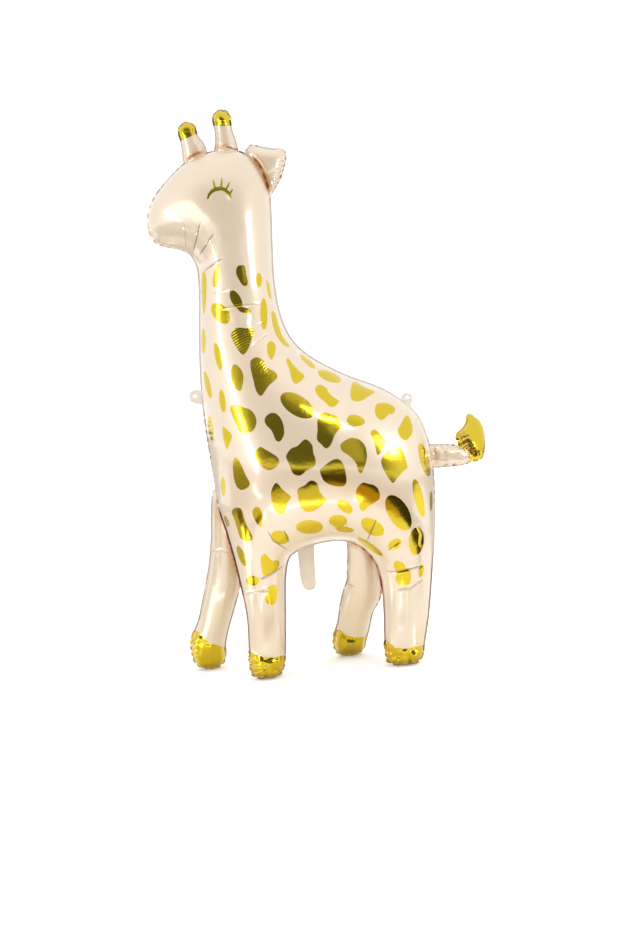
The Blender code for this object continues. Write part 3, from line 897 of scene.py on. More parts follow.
def film_height(lift, folded, ridges, flat, shown, distance, bunch_depth, rough, shoulder, pattern):
    """Height of one side's film: the folded lift with its waves, wrinkles and crumpled parts."""
    wave = sum(tall * soft_waves(*flat.T, size, pattern + own) for tall, size, own in UNEVEN)
    height = folded + wave * eased_in(distance, UNEVEN_FROM) + ridges
    if bunch_depth is not None:
        bunched = np.clip(bunch_depth / 8 + 0.6, 0, 1) * eased_in(distance, 4)
        height = height + rough * bunched * soft_waves(*shown.T, FACET_SIZE, pattern)
        swollen = np.clip(bunch_depth / 10, 0, 1)
        swollen = swollen ** 2 * (3 - 2 * swollen) * eased_in(distance, 6)
        height = height + shoulder * swollen * (0.8 + 0.8 * soft_waves(*shown.T, LOBE_SIZE, pattern + 3))
    return np.maximum(height, lift * LEAST_LIFT) + FILM_THICK / 2


def stroke_rows(strokes, flat, faces, weld):
    """Rows of points beside the creases, moved to where the raised film shows them."""
    lift = gas_lift(flat, faces, len(weld))
    rows = np.vstack([beside(line) for line, deep, *_ in strokes if deep])
    rows = unseen(rows, -lift[nearest(rows, flat)[0]])
    rows = rows[inside(rows, weld)]
    return rows[nearest(rows, weld)[1] > 1.0]


def press_on_floor(vertices):
    """Flattens the lowest lobes of a hoof as far as the weight does."""
    lowest = vertices[:, 2].min()
    if lowest < SOLE_REACH:
        low = np.clip((SOLE_REACH - vertices[:, 2]) / (SOLE_REACH - lowest), 0, 1)
        vertices[:, 2] = np.maximum(vertices[:, 2] - (lowest + SOLE_SINK) * low ** 2, 0)
    return vertices


# %% Close a piece of film
def closed_shell(faces, total, count):
    """Faces of the front film, of the back film and of the weld that joins them."""
    front, back = 2 * total, 2 * total + count
    i = np.arange(count)
    j = (i + 1) % count
    walls = ((i, j, front + j, front + i), (total + j, total + i, back + i, back + j),
             (front + i, front + j, back + j, back + i))
    shell = [tuple(f) for f in faces] + [tuple(f) for f in faces[:, ::-1] + total]
    return shell + [tuple(f) for wall in walls for f in np.column_stack(wall)]


def film_piece(name, vertices, shell, stored):
    """One piece of film, with the values that the material needs at each of its points."""
    mesh = bpy.data.meshes.new(name)
    mesh.from_pydata(vertices.tolist(), [], shell)
    mesh.validate()
    for key, values in stored.items():
        layer = mesh.attributes.new(key, "FLOAT", "POINT")
        layer.data.foreach_set("value", values.astype(np.float32))
    mesh.shade_smooth()
    print(name, len(mesh.polygons), "faces")
    return put_in_scene(name, mesh)


def flip_outward(piece):
    """Turns the faces so that they point out of the closed shape."""
    work = bmesh.new()
    work.from_mesh(piece.data)
    bmesh.ops.recalc_face_normals(work, faces=work.faces)
    work.to_mesh(piece.data)
    work.free()


# %% Blow up a cell
RIM_PULL, MOST_PULL = 0.35, 2.5   # how far a gather pulls the rim in, and the depth that counts, mm
SCALLOP = 1.9   # mm that the rim stands out for each mm of puff
RIM_FLUTTER = 0.8   # mm that a gather throws the rim to the front or the back
PUCKER_REFLECTION_PAINTED, MOST_REFLECTION_PAINTED, REFLECTION_PAINTED_REACH = 0.5, 0.45, 12   # painted amber reflection in a pucker for each mm of its depth, its most, and mm in
LEG_REFLECTION_PAINTED, LEG_REFLECTION_PAINTED_REACH = 0.3, 3.5   # painted tan reflection of the next leg beside the weld of the legs, and mm in


def cell(name, outline, lay=flat_lay, step=2.0, spacing=2.6, pitch=PUCKER_PITCH, gather=1.0,
         strokes=(), gold_at=None, gold_rim=None, clump_at=None, clump_from=6, clump_over=16,
         bunching=1.0, rough=0.0, shoulder=0.0, lobes_to=0, fold_reach=1.0, on_leg=None,
         patches=(), wrinkles=(), weld_changes=(), seed=1):
    """An inflated piece of film.

    The net has its points step apart on the weld and spacing apart inside. gold_at, gold_rim and
    clump_at say how deep a point lies in the gold or in bunched film. The weld begins to bunch at
    clump_from and is fully bunched clump_over deeper, mostly where it faces up, for lobes_to above
    zero, or down. rough and shoulder are how far bunched film crumples and swells.
    """
    drawn = smooth_loop(outline, step)
    weld = drawn + inward(drawn) * SEAM_INSIDE
    flat, faces = film_net(weld, spacing, patches)
    if strokes and lay is flat_lay:
        flat, faces = film_net(weld, spacing, patches, stroke_rows(strokes, flat, faces, weld))
    count, total = len(weld), len(flat)
    index, distance = nearest(flat, weld)
    lift = gas_lift(flat, faces, count)
    shown = np.column_stack(seen(*lay(*flat.T, -lift)))
    weld_shown = np.column_stack(seen(*lay(*weld.T, 0)))
    clumped = np.zeros(count)
    if clump_at is not None:
        clumped = bunching * np.clip((clump_at(weld_shown) - clump_from) / clump_over, 0, 1)
        if lobes_to:
            clumped *= 0.3 + 0.7 * np.clip(lobes_to * inward(weld)[:, 1] + 0.2, 0, 1)
    gathers, rim, puffs, scallops, dash, straight = pucker(
        weld, step, index, distance, pitch, gather, clumped, fold_reach, weld_changes, seed)
    dent, painted_amber_and_brown, line = crease(shown, strokes)
    ridges = wrinkle(shown, wrinkles)
    bunch_depth = clump_at(shown) if clump_at is not None else None
    sides = []
    for sign in (-1, 1):
        height = film_height(lift, lift - gathers - dent + puffs, ridges, flat, shown, distance,
                             bunch_depth, rough, shoulder, seed + sign)
        sides.append(np.column_stack(lay(*flat.T, sign * height)))
    rng = np.random.default_rng(seed + 100)
    reach_out = SEAM_OUTSIDE - RIM_PULL * np.clip(rim, 0, MOST_PULL) + SCALLOP * (scallops - clumped)
    edge = drawn - inward(drawn) * reach_out[:, None]
    flutter = RIM_FLUTTER * np.clip(rim, -0.5, 1.5) * np.sign(rng.uniform(-1, 1, count))
    flutter = np.concatenate([flutter[-2:], flutter, flutter[:2]])
    flutter = np.convolve(flutter, np.ones(5) / 5, "valid")
    for sign in (-1, 1):
        sides.append(np.column_stack(lay(*edge.T, flutter + sign * FILM_THICK / 2)))
    gold = gold_at(shown) if gold_at is not None else np.full(total, NOT_PRINTED)
    gold[:count] = gold_rim(weld_shown) if gold_rim is not None else NOT_PRINTED
    # painted amber reflection in the gathers beside the weld, and on the legs a painted tan reflection of
    # the next leg
    pucker_painted_reflection = gathers * PUCKER_REFLECTION_PAINTED * (1 - eased_in(distance, REFLECTION_PAINTED_REACH))
    fold = np.maximum(painted_amber_and_brown, np.clip(pucker_painted_reflection, 0, MOST_REFLECTION_PAINTED))
    darkness = WELD_SHADE_PAINTED_PLAIN
    if on_leg is not None:
        beside_weld = np.exp(-distance / LEG_REFLECTION_PAINTED_REACH) * (distance > 0.5)
        fold = np.maximum(fold, LEG_REFLECTION_PAINTED * on_leg(shown) * beside_weld)
        darkness = WELD_SHADE_PAINTED_PLAIN + (WELD_SHADE_PAINTED_ON_LEGS - WELD_SHADE_PAINTED_PLAIN) * on_leg(weld)
    # the weld gets painted light where it lies flat, and painted shade in dashes where it curls over and
    # along straight runs
    painted_weld_light_and_shade = np.zeros(total)
    painted_weld_light_and_shade[:count] = 1 + dash + straight * darkness
    layers = {"gold_print": gold, "fold": fold, "crease_line": line, "painted_weld_light_and_shade": painted_weld_light_and_shade}
    stored = {key: np.concatenate([a, a, a[:count], a[:count]]) for key, a in layers.items()}
    vertices = press_on_floor(stand_up(*np.vstack(sides).T))
    return film_piece(name, vertices, closed_shell(faces, total, count), stored)


# %% [markdown]
# The inflated pieces
#
# Body, neck, head and near legs are one cell on the real balloon, and the lobes are welded to it.
# Modelling them as one mesh would leave no room for the folded far legs, so each lobe is a cell
# of its own whose root lies inside its neighbour. Small lobes get a finer net. The tuft is folded
# to the side and back, so its outline is first drawn as it shows and then laid flat again.

# %% Say where film is printed or bunched
EYE_PATCH = ((-192, 768), (-134, 814), 1.1)
WRINKLE_PATCHES = [((x - wide, z - high), (x + wide, z + high), 1.2)
                   for (x, z), (wide, high), *_ in WRINKLES]
LEG_TOP, LEG_FADE = 225, 50   # height at which the near legs begin, and over which they do, mm
TUFT_ROOT, TUFT_ROOT_REACH = (232, 372), 20


def near_hooves(points):
    return np.maximum(below_line(points, NEAR_FORE_HOOF_LINE), below_line(points, NEAR_HIND_HOOF_LINE))


def above(point, slope):
    """How far above a sloping line through the point each point is."""
    return lambda p: (p[:, 1] - point[1] - slope * (p[:, 0] - point[0])) / math.hypot(1, slope)


def body_legs(points):
    """1 on the near legs, 0 on the rest of the body."""
    return np.clip((LEG_TOP - points[:, 1]) / LEG_FADE, 0, 1)


def everywhere(value):
    return lambda points: np.full(len(points), float(value))


def tuft_root(points):
    """How near each point is to the crumpled root of the tuft, as a depth in mm."""
    return TUFT_ROOT_REACH - np.linalg.norm(points - TUFT_ROOT, axis=1)


# %% Make the body and the far legs
HOOVES = {"rough": 3.4, "shoulder": 3.0, "lobes_to": 1}
pieces = {}
pieces["foil_body"] = cell(
    "foil_body", BODY, strokes=CREASES, gold_at=body_print, gold_rim=near_hooves,
    clump_at=near_hooves, on_leg=body_legs, patches=[EYE_PATCH] + WRINKLE_PATCHES,
    wrinkles=WRINKLES, weld_changes=BODY_WELD, seed=1, **HOOVES)
for name, line, hinge, hoof_line, strokes, seed in (
        ("far_fore_leg", FAR_FORE_LEG, FORE_HINGE, FAR_FORE_HOOF_LINE, FAR_FORE_CREASES, 2),
        ("far_hind_leg", FAR_HIND_LEG, HIND_HINGE, FAR_HIND_HOOF_LINE, FAR_HIND_CREASES, 3)):
    def hoof(points, hoof_line=hoof_line):
        return below_line(points, hoof_line)
    pieces[name] = cell(name, ribbon(line), folded_lay(hinge), strokes=strokes, gold_at=hoof,
                        gold_rim=hoof, clump_at=hoof, on_leg=everywhere(1), seed=seed, **HOOVES)

# %% Make the horns, the ear, the tail and the tuft
FINE_NET = {"step": 1.4, "spacing": 1.8}
TUFT_TILT = (*TUFT_ROOT, math.radians(22), math.radians(25))
for name, line, tip, strokes, seed in (
        ("left_horn", LEFT_HORN, above((-211, 875), 0.45), LEFT_HORN_CREASES, 4),
        ("right_horn", RIGHT_HORN, above((-156, 893), 0.0), RIGHT_HORN_CREASES, 5)):
    pieces[name] = cell(name, ribbon(line), pitch=13, gather=0.25, strokes=strokes, gold_at=tip,
                        gold_rim=tip, clump_at=tip, clump_from=2, clump_over=12, bunching=0.55,
                        rough=0.9, shoulder=2.6, lobes_to=-1, fold_reach=0.45, seed=seed, **FINE_NET)
pieces["ear"] = cell("ear", EAR, pitch=11, strokes=EAR_CREASES, seed=6, **FINE_NET)
pieces["tail"] = cell("tail", ribbon(TAIL), pitch=9, gather=0.8, strokes=TAIL_CREASES,
                      clump_at=everywhere(3), rough=2.4, seed=7, **FINE_NET)
pieces["tuft"] = cell("tuft", before_tilt(TUFT, *TUFT_TILT), tilted_lay(*TUFT_TILT), pitch=9,
                      gather=0.5, strokes=TUFT_CREASES, gold_at=everywhere(5), gold_rim=everywhere(5),
                      clump_at=tuft_root, clump_from=0, clump_over=10, bunching=0.5, rough=2.2,
                      seed=8, **FINE_NET)

# %% [markdown]
# Tabs and filling valve
#
# These are the same film, welded flat, so they hold no gas. A plain extruded shape would look
# like card, so each is a thin doubled sheet with a slightly wavy face, and each tab has its
# punched hole. They are all weld, and their colour gets the weld's painted light, standing in for
# light through the thin flat film, the tabs more than the valve.

# %% Cut the flat pieces
FLAT_STEP, FLAT_SPACING = 1.6, 1.8
FLAT_WAVE, FLAT_WAVE_SIZE = 0.6, 14   # mm
HOLE_SIDES = 24
SHARP_ABOVE = math.radians(60)


def flat_piece(name, outline, hole, flat_weld_painted_light, seed):
    """A doubled sheet of flat film, with a punched hole if its middle is given."""
    edge = smooth_loop(outline, FLAT_STEP)
    loops = [edge]
    if hole is not None:
        turn = np.linspace(0, math.tau, HOLE_SIDES, endpoint=False)
        loops.append(hole + TAB_HOLE_RADIUS * np.column_stack([np.cos(turn), np.sin(turn)]))
    rim = np.vstack(loops)
    grid = honeycomb(edge.min(axis=0), edge.max(axis=0), FLAT_SPACING)
    grid = grid[inside(grid, edge) & (nearest(grid, rim)[1] > 0.6 * FLAT_SPACING)]
    if hole is not None:
        grid = grid[np.linalg.norm(grid - hole, axis=1) > TAB_HOLE_RADIUS]
    flat, faces = triangles_inside(np.vstack([rim, grid]), list(range(len(edge))))
    if hole is not None:
        middles = flat[faces].mean(axis=1)
        faces = faces[np.linalg.norm(middles - hole, axis=1) > TAB_HOLE_RADIUS * 0.97]
    total, start = len(flat), 0
    shell = [tuple(f) for f in faces] + [tuple(f) for f in faces[:, ::-1] + total]
    for loop in loops:
        i = np.arange(len(loop))
        j = (i + 1) % len(loop)
        wall = np.column_stack([i, j, total + j, total + i]) + start
        shell += [tuple(f) for f in wall]
        start += len(loop)
    bend = FLAT_WAVE * soft_waves(*flat.T, FLAT_WAVE_SIZE, seed)
    sheets = [np.column_stack([flat, bend + sign * FILM_THICK / 2]) for sign in (-1, 1)]
    vertices = stand_up(*np.vstack(sheets).T)
    # flat film gets only the weld's painted light
    layers = {"gold_print": NOT_PRINTED, "fold": 0.0, "crease_line": 0.0, "painted_weld_light_and_shade": flat_weld_painted_light}
    stored = {key: np.full(2 * total, value) for key, value in layers.items()}
    return film_piece(name, vertices, shell, stored)


for name, outline, hole, flat_weld_painted_light, seed in (
        ("filling_valve", ribbon(VALVE, 0.2), None, 0.45, 2),
        ("chest_tab", ribbon(CHEST_TAB), (-203, 455), 0.95, 3),
        ("rump_tab", ribbon(RUMP_TAB), (142, 453), 0.95, 4)):
    pieces[name] = flat_piece(name, outline, hole, flat_weld_painted_light, seed)
for piece in pieces.values():
    flip_outward(piece)
    piece.data.set_sharp_from_angle(angle=SHARP_ABOVE)
print(len(pieces), "pieces of film")

# %% [markdown]
# The film and its print
#
# Common name: foil balloon film, a nylon sheet with a few hundredths of a micron of aluminium
# on it. Pearl peach ink covers most of it and keeps some of the metal's shine, like satin paint
# under a hard varnish. The gold marks are a clear yellow lacquer straight over the aluminium, so
# they mirror the room: dark where they face the dark side of the studio and pale yellow where
# they face the lamps. Both finishes are one sheet, so they are one material that switches at the
# print's edge. Light and shade are also painted into its colour: painted light on the weld where
# it lies flat and brown painted shade where it curls over, a grey painted shade along a thin
# crease, and in a deep fold a painted amber reflection with a brown painted shade at its core.

# %% Mix the film
PEARL_INK, PEARL_SHADE = "DAC6AD", "D3BFA2"
GOLD_LACQUER = "DFC306"
# painted light on the flat weld, and the brown painted shade where it curls over
LIGHT_PAINTED_ON_WELD, SHADE_PAINTED_ON_WELD = "F6ECDF", "7C4E26"
# grey painted shade along a thin crease, where it mirrors the dark end of the room
CREASE_SHADE_PAINTED = "6E5638"
# painted amber reflection of two foil walls mirroring each other in a deep fold, and the brown painted
# shade at its core
FOLD_REFLECTION_PAINTED, FOLD_CORE_SHADE_PAINTED = "CF9658", "6A340E"
PRINT_EDGE = 0.35   # mm on each side over which ink gives way to lacquer
CLOUD_MM = 45.45   # distance between places where the ink lies thicker
GRAIN_MM = 16.67   # the film's grain, drawn coarser than the real one so that it shows
GRAIN_SHARE, GRAIN_DEEP = 0.12, 0.002   # strength from 0 to 1, and metres
FINISH = {"Specular IOR Level": 1.0, "Coat Roughness": 0.11, "Coat IOR": 2.1,
          "Sheen Weight": 0.4, "Sheen Roughness": 0.35}


def hex_colour(text):
    """An sRGB hex value as linear red, green, blue and alpha."""
    parts = [int(text[i:i + 2], 16) / 255 for i in (0, 2, 4)]
    return tuple(c / 12.92 if c <= 0.04045 else ((c + 0.055) / 1.055) ** 2.4 for c in parts) + (1,)


def add(tree, kind, links=(), **settings):
    """Adds a node, sets its settings and sockets, and links its sockets to other nodes' outputs."""
    node = tree.nodes.new(kind)
    for key, value in settings.items():
        if key.startswith("in_"):
            node.inputs[int(key[3:])].default_value = value
        else:
            setattr(node, key, value)
    for socket, source in dict(links).items():
        tree.links.new(source, node.inputs[socket])
    return node


def film_material():
    """Metallised nylon film with pearl ink, gold lacquer inside the print, and light and shade painted on
    its weld, folds and creases.
    """
    made = bpy.data.materials.new("foil_film_pearl_and_gold")
    made.use_nodes = True
    tree = made.node_tree
    shader = tree.nodes["Principled BSDF"]
    # fold carries how much painted amber reflection and brown painted shade each point gets
    gold, fold, line, painted_weld_light_and_shade = (add(tree, "ShaderNodeAttribute", attribute_name=name).outputs["Fac"]
                              for name in ("gold_print", "fold", "crease_line", "painted_weld_light_and_shade"))
    place_on = add(tree, "ShaderNodeTexCoord").outputs["Object"]
    printed = add(tree, "ShaderNodeMapRange", {0: gold}, in_1=-PRINT_EDGE, in_2=PRINT_EDGE).outputs[0]
    cloud = add(tree, "ShaderNodeTexNoise", {"Vector": place_on}, in_2=1000 / CLOUD_MM, in_3=3.0)
    pearl = add(tree, "ShaderNodeMix", {0: cloud.outputs["Fac"]}, data_type="RGBA",
                in_6=hex_colour(PEARL_SHADE), in_7=hex_colour(PEARL_INK))
    colour = add(tree, "ShaderNodeMix", {0: printed, 6: pearl.outputs[2]}, data_type="RGBA",
                 in_7=hex_colour(GOLD_LACQUER)).outputs[2]
    unprinted = add(tree, "ShaderNodeMath", {1: printed}, operation="SUBTRACT", in_0=1.0)
    faint = add(tree, "ShaderNodeMapRange", {0: printed}, in_3=0.95, in_4=0.5)
    # painted light on the unprinted weld, then its painted shade
    pale = add(tree, "ShaderNodeMapRange", {0: painted_weld_light_and_shade, 4: unprinted.outputs[0]}, in_1=0.3, in_2=1.0)
    dark = add(tree, "ShaderNodeMapRange", {0: painted_weld_light_and_shade, 4: faint.outputs[0]}, in_1=1.0, in_2=2.0)
    # grey painted shade along thin creases
    thin = add(tree, "ShaderNodeMapRange", {0: line}, in_1=0.2, in_2=0.9, in_4=0.85)
    # painted amber reflection in a fold, then the brown painted shade at its core
    glow = add(tree, "ShaderNodeMapRange", {0: fold}, in_1=0.06, in_2=0.62, in_4=0.85)
    core = add(tree, "ShaderNodeMapRange", {0: fold}, in_1=0.62, in_2=0.95)
    for share, tone in ((pale, LIGHT_PAINTED_ON_WELD), (dark, SHADE_PAINTED_ON_WELD), (thin, CREASE_SHADE_PAINTED), (glow, FOLD_REFLECTION_PAINTED),
                        (core, FOLD_CORE_SHADE_PAINTED)):
        colour = add(tree, "ShaderNodeMix", {0: share.outputs[0], 6: colour}, data_type="RGBA",
                     in_7=hex_colour(tone)).outputs[2]
    tree.links.new(colour, shader.inputs["Base Color"])
    for socket, on_ink, on_gold in (("Metallic", 0.2, 1.0), ("Roughness", 0.36, 0.14)):
        share = add(tree, "ShaderNodeMapRange", {0: printed}, in_3=on_ink, in_4=on_gold)
        tree.links.new(share.outputs[0], shader.inputs[socket])
    glossy = add(tree, "ShaderNodeMapRange", {0: printed}, in_3=1.0, in_4=0.3)
    # no coat over the fold's brown painted shade, so that the painted shade stays dark
    outside_painted_core = add(tree, "ShaderNodeMath", {1: core.outputs[0]}, operation="SUBTRACT", in_0=1.0)
    varnish = add(tree, "ShaderNodeMath", {0: glossy.outputs[0], 1: outside_painted_core.outputs[0]},
                  operation="MULTIPLY")
    tree.links.new(varnish.outputs[0], shader.inputs["Coat Weight"])
    grain = add(tree, "ShaderNodeTexNoise", {"Vector": place_on}, in_2=1000 / GRAIN_MM, in_3=2.0)
    bump = add(tree, "ShaderNodeBump", {"Height": grain.outputs["Fac"]}, in_0=GRAIN_SHARE,
               in_1=GRAIN_DEEP)
    tree.links.new(bump.outputs[0], shader.inputs["Normal"])
    for socket, value in FINISH.items():
        shader.inputs[socket].default_value = value
    print("film material:", len(tree.nodes), "nodes")
    return made


film = film_material()
for piece in pieces.values():
    piece.data.materials.append(film)

# %% [markdown]
# Joining the frame
#
# Nothing on the balloon moves, so every piece rides on the one body, stands for the one solid
# that the physics knows, and takes its finish from the same film.

# %% Ride on the frame
for piece in pieces.values():
    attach(piece, "root")
    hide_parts("giraffe_balloon")

# %% [markdown]
# Studio
#
# A foil balloon shows the room more than its own colour. A catalogue photograph is taken on a
# white floor in a white cove, with tall softboxes at both sides and one above, while the end of
# the room with the camera stays dark. That dark end is what turns the middle of each gold spot
# olive, and the white walls turn the spots near the outline pale yellow. An even white world
# would make all of them the same flat yellow, so the world gets a dark patch on one side.
#
# The film is curved, so it mirrors each board and lamp as a small bent patch. Each board on the
# floor was placed by working back from such a patch, from the camera to the film and off it.

# %% Lay the floor and its boards
# The boards named dark and shaded are painted shade: they stand in for the unlit floor in front of the
# balloon and for the shade beside and under it.
FLOOR_BOARDS = [   # name, middle and size in metres, colour
    ("floor_beyond_the_paper", (0, 0, 0.002), (9, 9), "8C8578"),
    ("white_paper", (0.0, -0.12, 0.003), (1.7, 1.4), "F4F2EE"),
    ("dark_floor_in_front", (0.05, -2.4, 0.004), (2.4, 3.1), "383020"),
    ("dark_floor_at_right", (1.06, -0.93, 0.005), (1.16, 1.55), "2A2416"),
    ("tan_floor", (0.27, -0.78, 0.006), (0.4, 0.62), "AD8A34"),
    ("paper_edge", (0.0, -0.68, 0.0035), (1.7, 0.4), "D2CDC2"),
    ("dark_floor_at_left", (-0.75, -0.35, 0.005), (0.7, 0.5), "4A4228"),
    ("shaded_paper_at_the_left", (-0.85, 0.25, 0.0045), (0.5, 1.0), "BDB5A6"),
    ("shaded_paper_at_the_hooves", (-0.02, -0.03, 0.007), (0.56, 0.22), "E8E1BE"),
    ("white_floor_at_right", (1.7, 0.05, 0.0055), (1.5, 1.0), "FFFFFF"),
    ("white_floor_at_left", (-2.6, 1.0, 0.0055), (2.4, 1.6), "FFFFFF"),
]


def studio_card(name, centre, size, colour, turn=(0, 0, 0), glow=0.0, only_reflected=True):
    """A flat board. One that is only reflected neither shows nor throws a shadow."""
    mesh = bpy.data.meshes.new(name)
    a, b = size[0] / 2, size[1] / 2
    mesh.from_pydata([(-a, -b, 0), (a, -b, 0), (a, b, 0), (-a, b, 0)], [], [(0, 1, 2, 3)])
    card = put_in_scene(name, mesh)
    card.location = centre
    card.rotation_euler = turn
    paint = bpy.data.materials.new(name + "_paint")
    paint.use_nodes = True
    shader = paint.node_tree.nodes["Principled BSDF"]
    shader.inputs["Base Color"].default_value = hex_colour(colour)
    shader.inputs["Roughness"].default_value = 0.9
    shader.inputs["Specular IOR Level"].default_value = 0.0
    if glow:
        shader.inputs["Emission Color"].default_value = hex_colour(colour)
        shader.inputs["Emission Strength"].default_value = glow
    mesh.materials.append(paint)
    if only_reflected:
        card.visible_camera = card.visible_diffuse = card.visible_shadow = False
    return card


studio_card("studio_floor", (0, 0, 0), (30, 30), "FFFFFF", glow=0.15, only_reflected=False)
for name, middle, size, colour in FLOOR_BOARDS:
    studio_card(name, middle, size, colour)
# a glowing board: a painted pool of lamp light on the floor beside the legs, which only the film shows
studio_card("painted_light_pool_beside_the_legs", (-0.46, -0.08, 0.0065), (0.26, 0.32), "FFFFFF", glow=1.1)
studio_card("low_card_at_the_left", (-0.50, -0.44, 0.06), (0.6, 0.12), "C9BFA8",
            (math.radians(90), 0, math.radians(-48)))
print(len(FLOOR_BOARDS) + 2, "boards that only the film shows")

# %% [markdown]
# Light on the floor
#
# The long white lines down the legs and along the belly are streaks of lamp light on the floor,
# mirrored by the film. Real lamps could throw them, but each would also light the balloon, so
# each streak is a glowing strip that only the film shows.

# %% Draw the lit paths
PATH_HEIGHT = 0.010   # metres, above every board
LIT_PATHS = [   # name, points and the width at each of them in metres, and brightness
    ("left_lamp_on_the_floor",
     [(-1.5, -1.15), (-0.95, -0.85), (-0.64, -0.68), (-0.42, -0.57), (-0.24, -0.49),
      (-0.10, -0.42), (0.03, -0.385)], (0.16, 0.12, 0.095, 0.075, 0.06, 0.05, 0.035), 2.8),
    ("light_between_the_legs", [(-0.32, -0.13), (-0.22, -0.105), (-0.16, -0.085)],
     (0.03, 0.02, 0.016), 2.2),
    ("light_right_of_the_legs", [(0.08, -0.44), (0.13, -0.53), (0.17, -0.60)],
     (0.03, 0.032, 0.03), 2.2),
    ("light_before_the_hind_leg", [(-0.33, -0.37), (-0.40, -0.47), (-0.46, -0.55)],
     (0.03, 0.035, 0.03), 2.0),
    ("light_behind_the_hind_leg", [(0.16, -0.09), (0.19, -0.14), (0.23, -0.20)],
     (0.02, 0.025, 0.03), 2.0),
    ("light_beside_the_legs", [(-0.42, -0.08), (-0.58, -0.11), (-0.74, -0.14)],
     (0.05, 0.06, 0.07), 1.8),
]


def glowing_strip(name, one_edge, other_edge, glow):
    """A strip between two rows of points, which shows only where the film mirrors it."""
    strip = studio_card(name, (0, 0, 0), (1, 1), "FFFFFF", glow=glow)
    strip.data.clear_geometry()
    count = len(one_edge)
    strip.data.from_pydata([*one_edge, *other_edge], [],
                           [(i, i + 1, count + i + 1, count + i) for i in range(count - 1)])


for name, points, widths, glow in LIT_PATHS:
    middle = np.array(points, float)
    run = np.gradient(middle, axis=0)
    run /= np.linalg.norm(run, axis=1)[:, None]
    side = np.column_stack([-run[:, 1], run[:, 0]]) * np.array(widths)[:, None] / 2
    edges = [[(x, y, PATH_HEIGHT) for x, y in middle + sign * side] for sign in (1, -1)]
    glowing_strip(name, *edges, glow)
print(len(LIT_PATHS), "lit paths")

# %% [markdown]
# Lamps
#
# Each softbox is given by two directions from the balloon, because a mirror cares about
# directions. Some lamps light the film but don't show in it, and others only show, which keeps
# brightness and highlights apart. The window beside the cheek is a curved pane, because the round
# muzzle mirrors it with a drawn outline that no straight softbox gives.

# %% Hang the lamps


def towards_light(azimuth, elevation):
    """A direction in degrees: 0 azimuth is in front of the film, and above 0 at its right."""
    side, lift = math.radians(azimuth), math.radians(elevation)
    return Vector((math.sin(side) * math.cos(lift), -math.cos(side) * math.cos(lift), math.sin(lift)))


def strip_lamp(name, low, high, reach, width, radiance, spread=179, aim=(0, -0.05, 0.43),
               lights_up=True, shows=True):
    """A softbox between two directions from a point, radiance times as bright as white paper.

    A honeycomb in front of the softbox narrows its spread, in degrees.
    """
    ends = [Vector(aim) + reach * towards_light(*end) for end in (low, high)]
    middle = (ends[0] + ends[1]) / 2
    long_way = (ends[1] - ends[0]).normalized()
    across = long_way.cross((middle - Vector(aim)).normalized()).normalized()
    data = bpy.data.lights.new(name, "AREA")
    data.shape = "RECTANGLE"
    data.size, data.size_y = width, (ends[1] - ends[0]).length
    half = math.radians(spread) / 2
    data.energy = radiance * math.pi * data.size * data.size_y * (1 - half / math.tan(half))
    data.spread = math.radians(spread)
    made = put_in_scene(name, data)
    made.visible_camera = False
    made.visible_diffuse = lights_up
    made.visible_glossy = shows
    made.matrix_world = placement(across, long_way, across.cross(long_way), middle)
    print(name, round(data.energy, 2), "W")


def arched_window(name, aim, reach, stations, glow):
    """A curved pane round a point, which shows only where the film mirrors it.

    Each station is an azimuth, the elevation of the pane's middle and its height, in degrees.
    """
    edges = [[Vector(aim) + reach * towards_light(azimuth, middle + side * high / 2)
              for azimuth, middle, high in stations] for side in (1, -1)]
    glowing_strip(name, *edges, glow)


strip_lamp("left_softbox", (-46, -8), (-71, 27), 2.2, 0.20, 14.0, 50)
arched_window("cheek_window", (-0.16, -0.047, 0.772), 0.26,
              [(-81, 9, 6), (-76, 11, 16), (-68, 14, 23), (-58, 14, 30), (-47, 12, 36), (-38, 9, 37),
               (-30, 5, 30), (-25, 1, 21), (-20, -2, 13), (-15, -1, 5)], 1.0)
strip_lamp("right_boom_softbox", (40, 30), (9.5, 40.5), 1.7, 0.07, 24.0, 23, aim=(0.05, -0.05, 0.40))
strip_lamp("right_softbox", (55, 6), (56, 22), 1.8, 0.46, 5.8)
strip_lamp("rump_window", (57, 9), (57, 22), 0.5, 0.12, 14.0, aim=(0.12, -0.06, 0.36),
           lights_up=False)
strip_lamp("grey_panel", (22, 1), (24, 30), 0.9, 0.24, 0.38, aim=(0.05, -0.05, 0.39),
           lights_up=False)
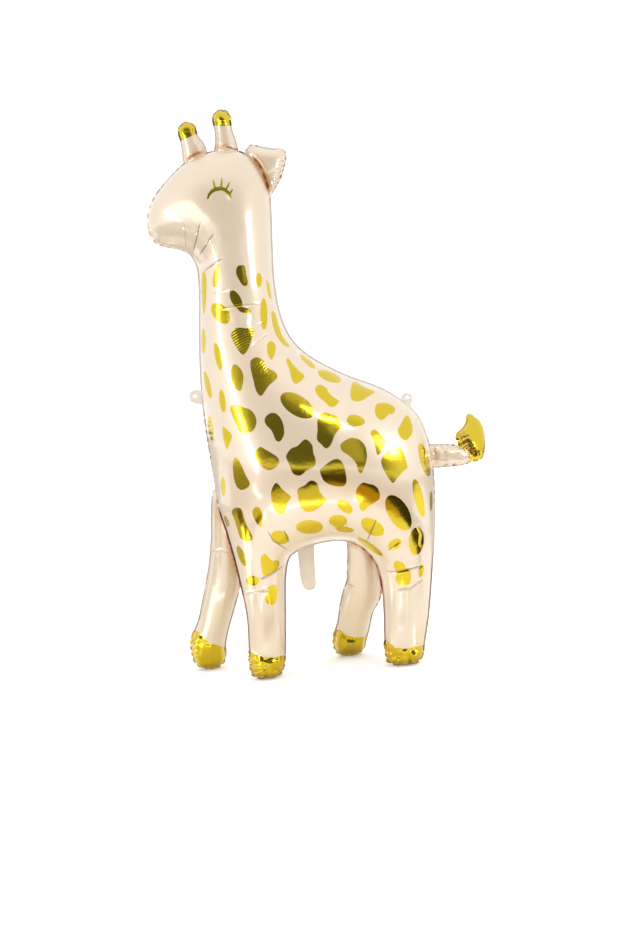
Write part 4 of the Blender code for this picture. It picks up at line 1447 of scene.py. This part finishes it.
strip_lamp("low_fill", (-20, 4), (20, 4), 1.6, 0.4, 1.8, 40, aim=(0.0, 0.05, 0.12), shows=False)
strip_lamp("far_leg_spot", (-6, 3), (-6, 13), 0.9, 0.10, 85.0, 10, aim=(0.01, 0.10, 0.10),
           shows=False)
strip_lamp("top_softbox", (-30, 70), (150, 70), 2.6, 1.6, 1.3, shows=False)

# %% Darken one end of the room
ROOM_BRIGHT, ROOM_DARK = 1.0, 0.13
BACKDROP = 1.12   # the room's brightness where the camera sees it past the balloon
DARK_END = Vector((0.03, -1.0, 0.10)).normalized()
DARK_STARTS, DARK_FULL = 0.45, 0.88   # cosines of the angle from the middle of the dark end
SQUASH = 1.25   # how much wider than high the dark end is
world = bpy.data.worlds.new("white_room")
bpy.context.scene.world = world
world.use_nodes = True
room = world.node_tree
direction = add(room, "ShaderNodeTexCoord")
flatter = add(room, "ShaderNodeVectorMath", {0: direction.outputs["Generated"]},
              operation="MULTIPLY", in_1=(1.0, 1.0, SQUASH))
unit = add(room, "ShaderNodeVectorMath", {0: flatter.outputs[0]}, operation="NORMALIZE")
towards = add(room, "ShaderNodeVectorMath", {0: unit.outputs[0]}, operation="DOT_PRODUCT",
              in_1=tuple(DARK_END))
fade = add(room, "ShaderNodeMapRange", {0: towards.outputs["Value"]},
           interpolation_type="SMOOTHSTEP", in_1=DARK_STARTS, in_2=DARK_FULL,
           in_3=ROOM_BRIGHT, in_4=ROOM_DARK)
looked_at = add(room, "ShaderNodeLightPath")
strength = add(room, "ShaderNodeMix", {0: looked_at.outputs["Is Glossy Ray"], 3: fade.outputs[0]},
               data_type="FLOAT", in_2=BACKDROP)
backdrop = room.nodes["Background"]
backdrop.inputs["Color"].default_value = hex_colour("FFFFFF")
room.links.new(strength.outputs[0], backdrop.inputs["Strength"])
print("white room:", len(room.nodes), "nodes")

# %% [markdown]
# Colour handling
#
# A catalogue picture keeps white paper white and colours plain, so the standard view is used
# instead of the filmic one that Blender starts with.

# %% Keep white white
bpy.context.scene.view_settings.view_transform = "Standard"
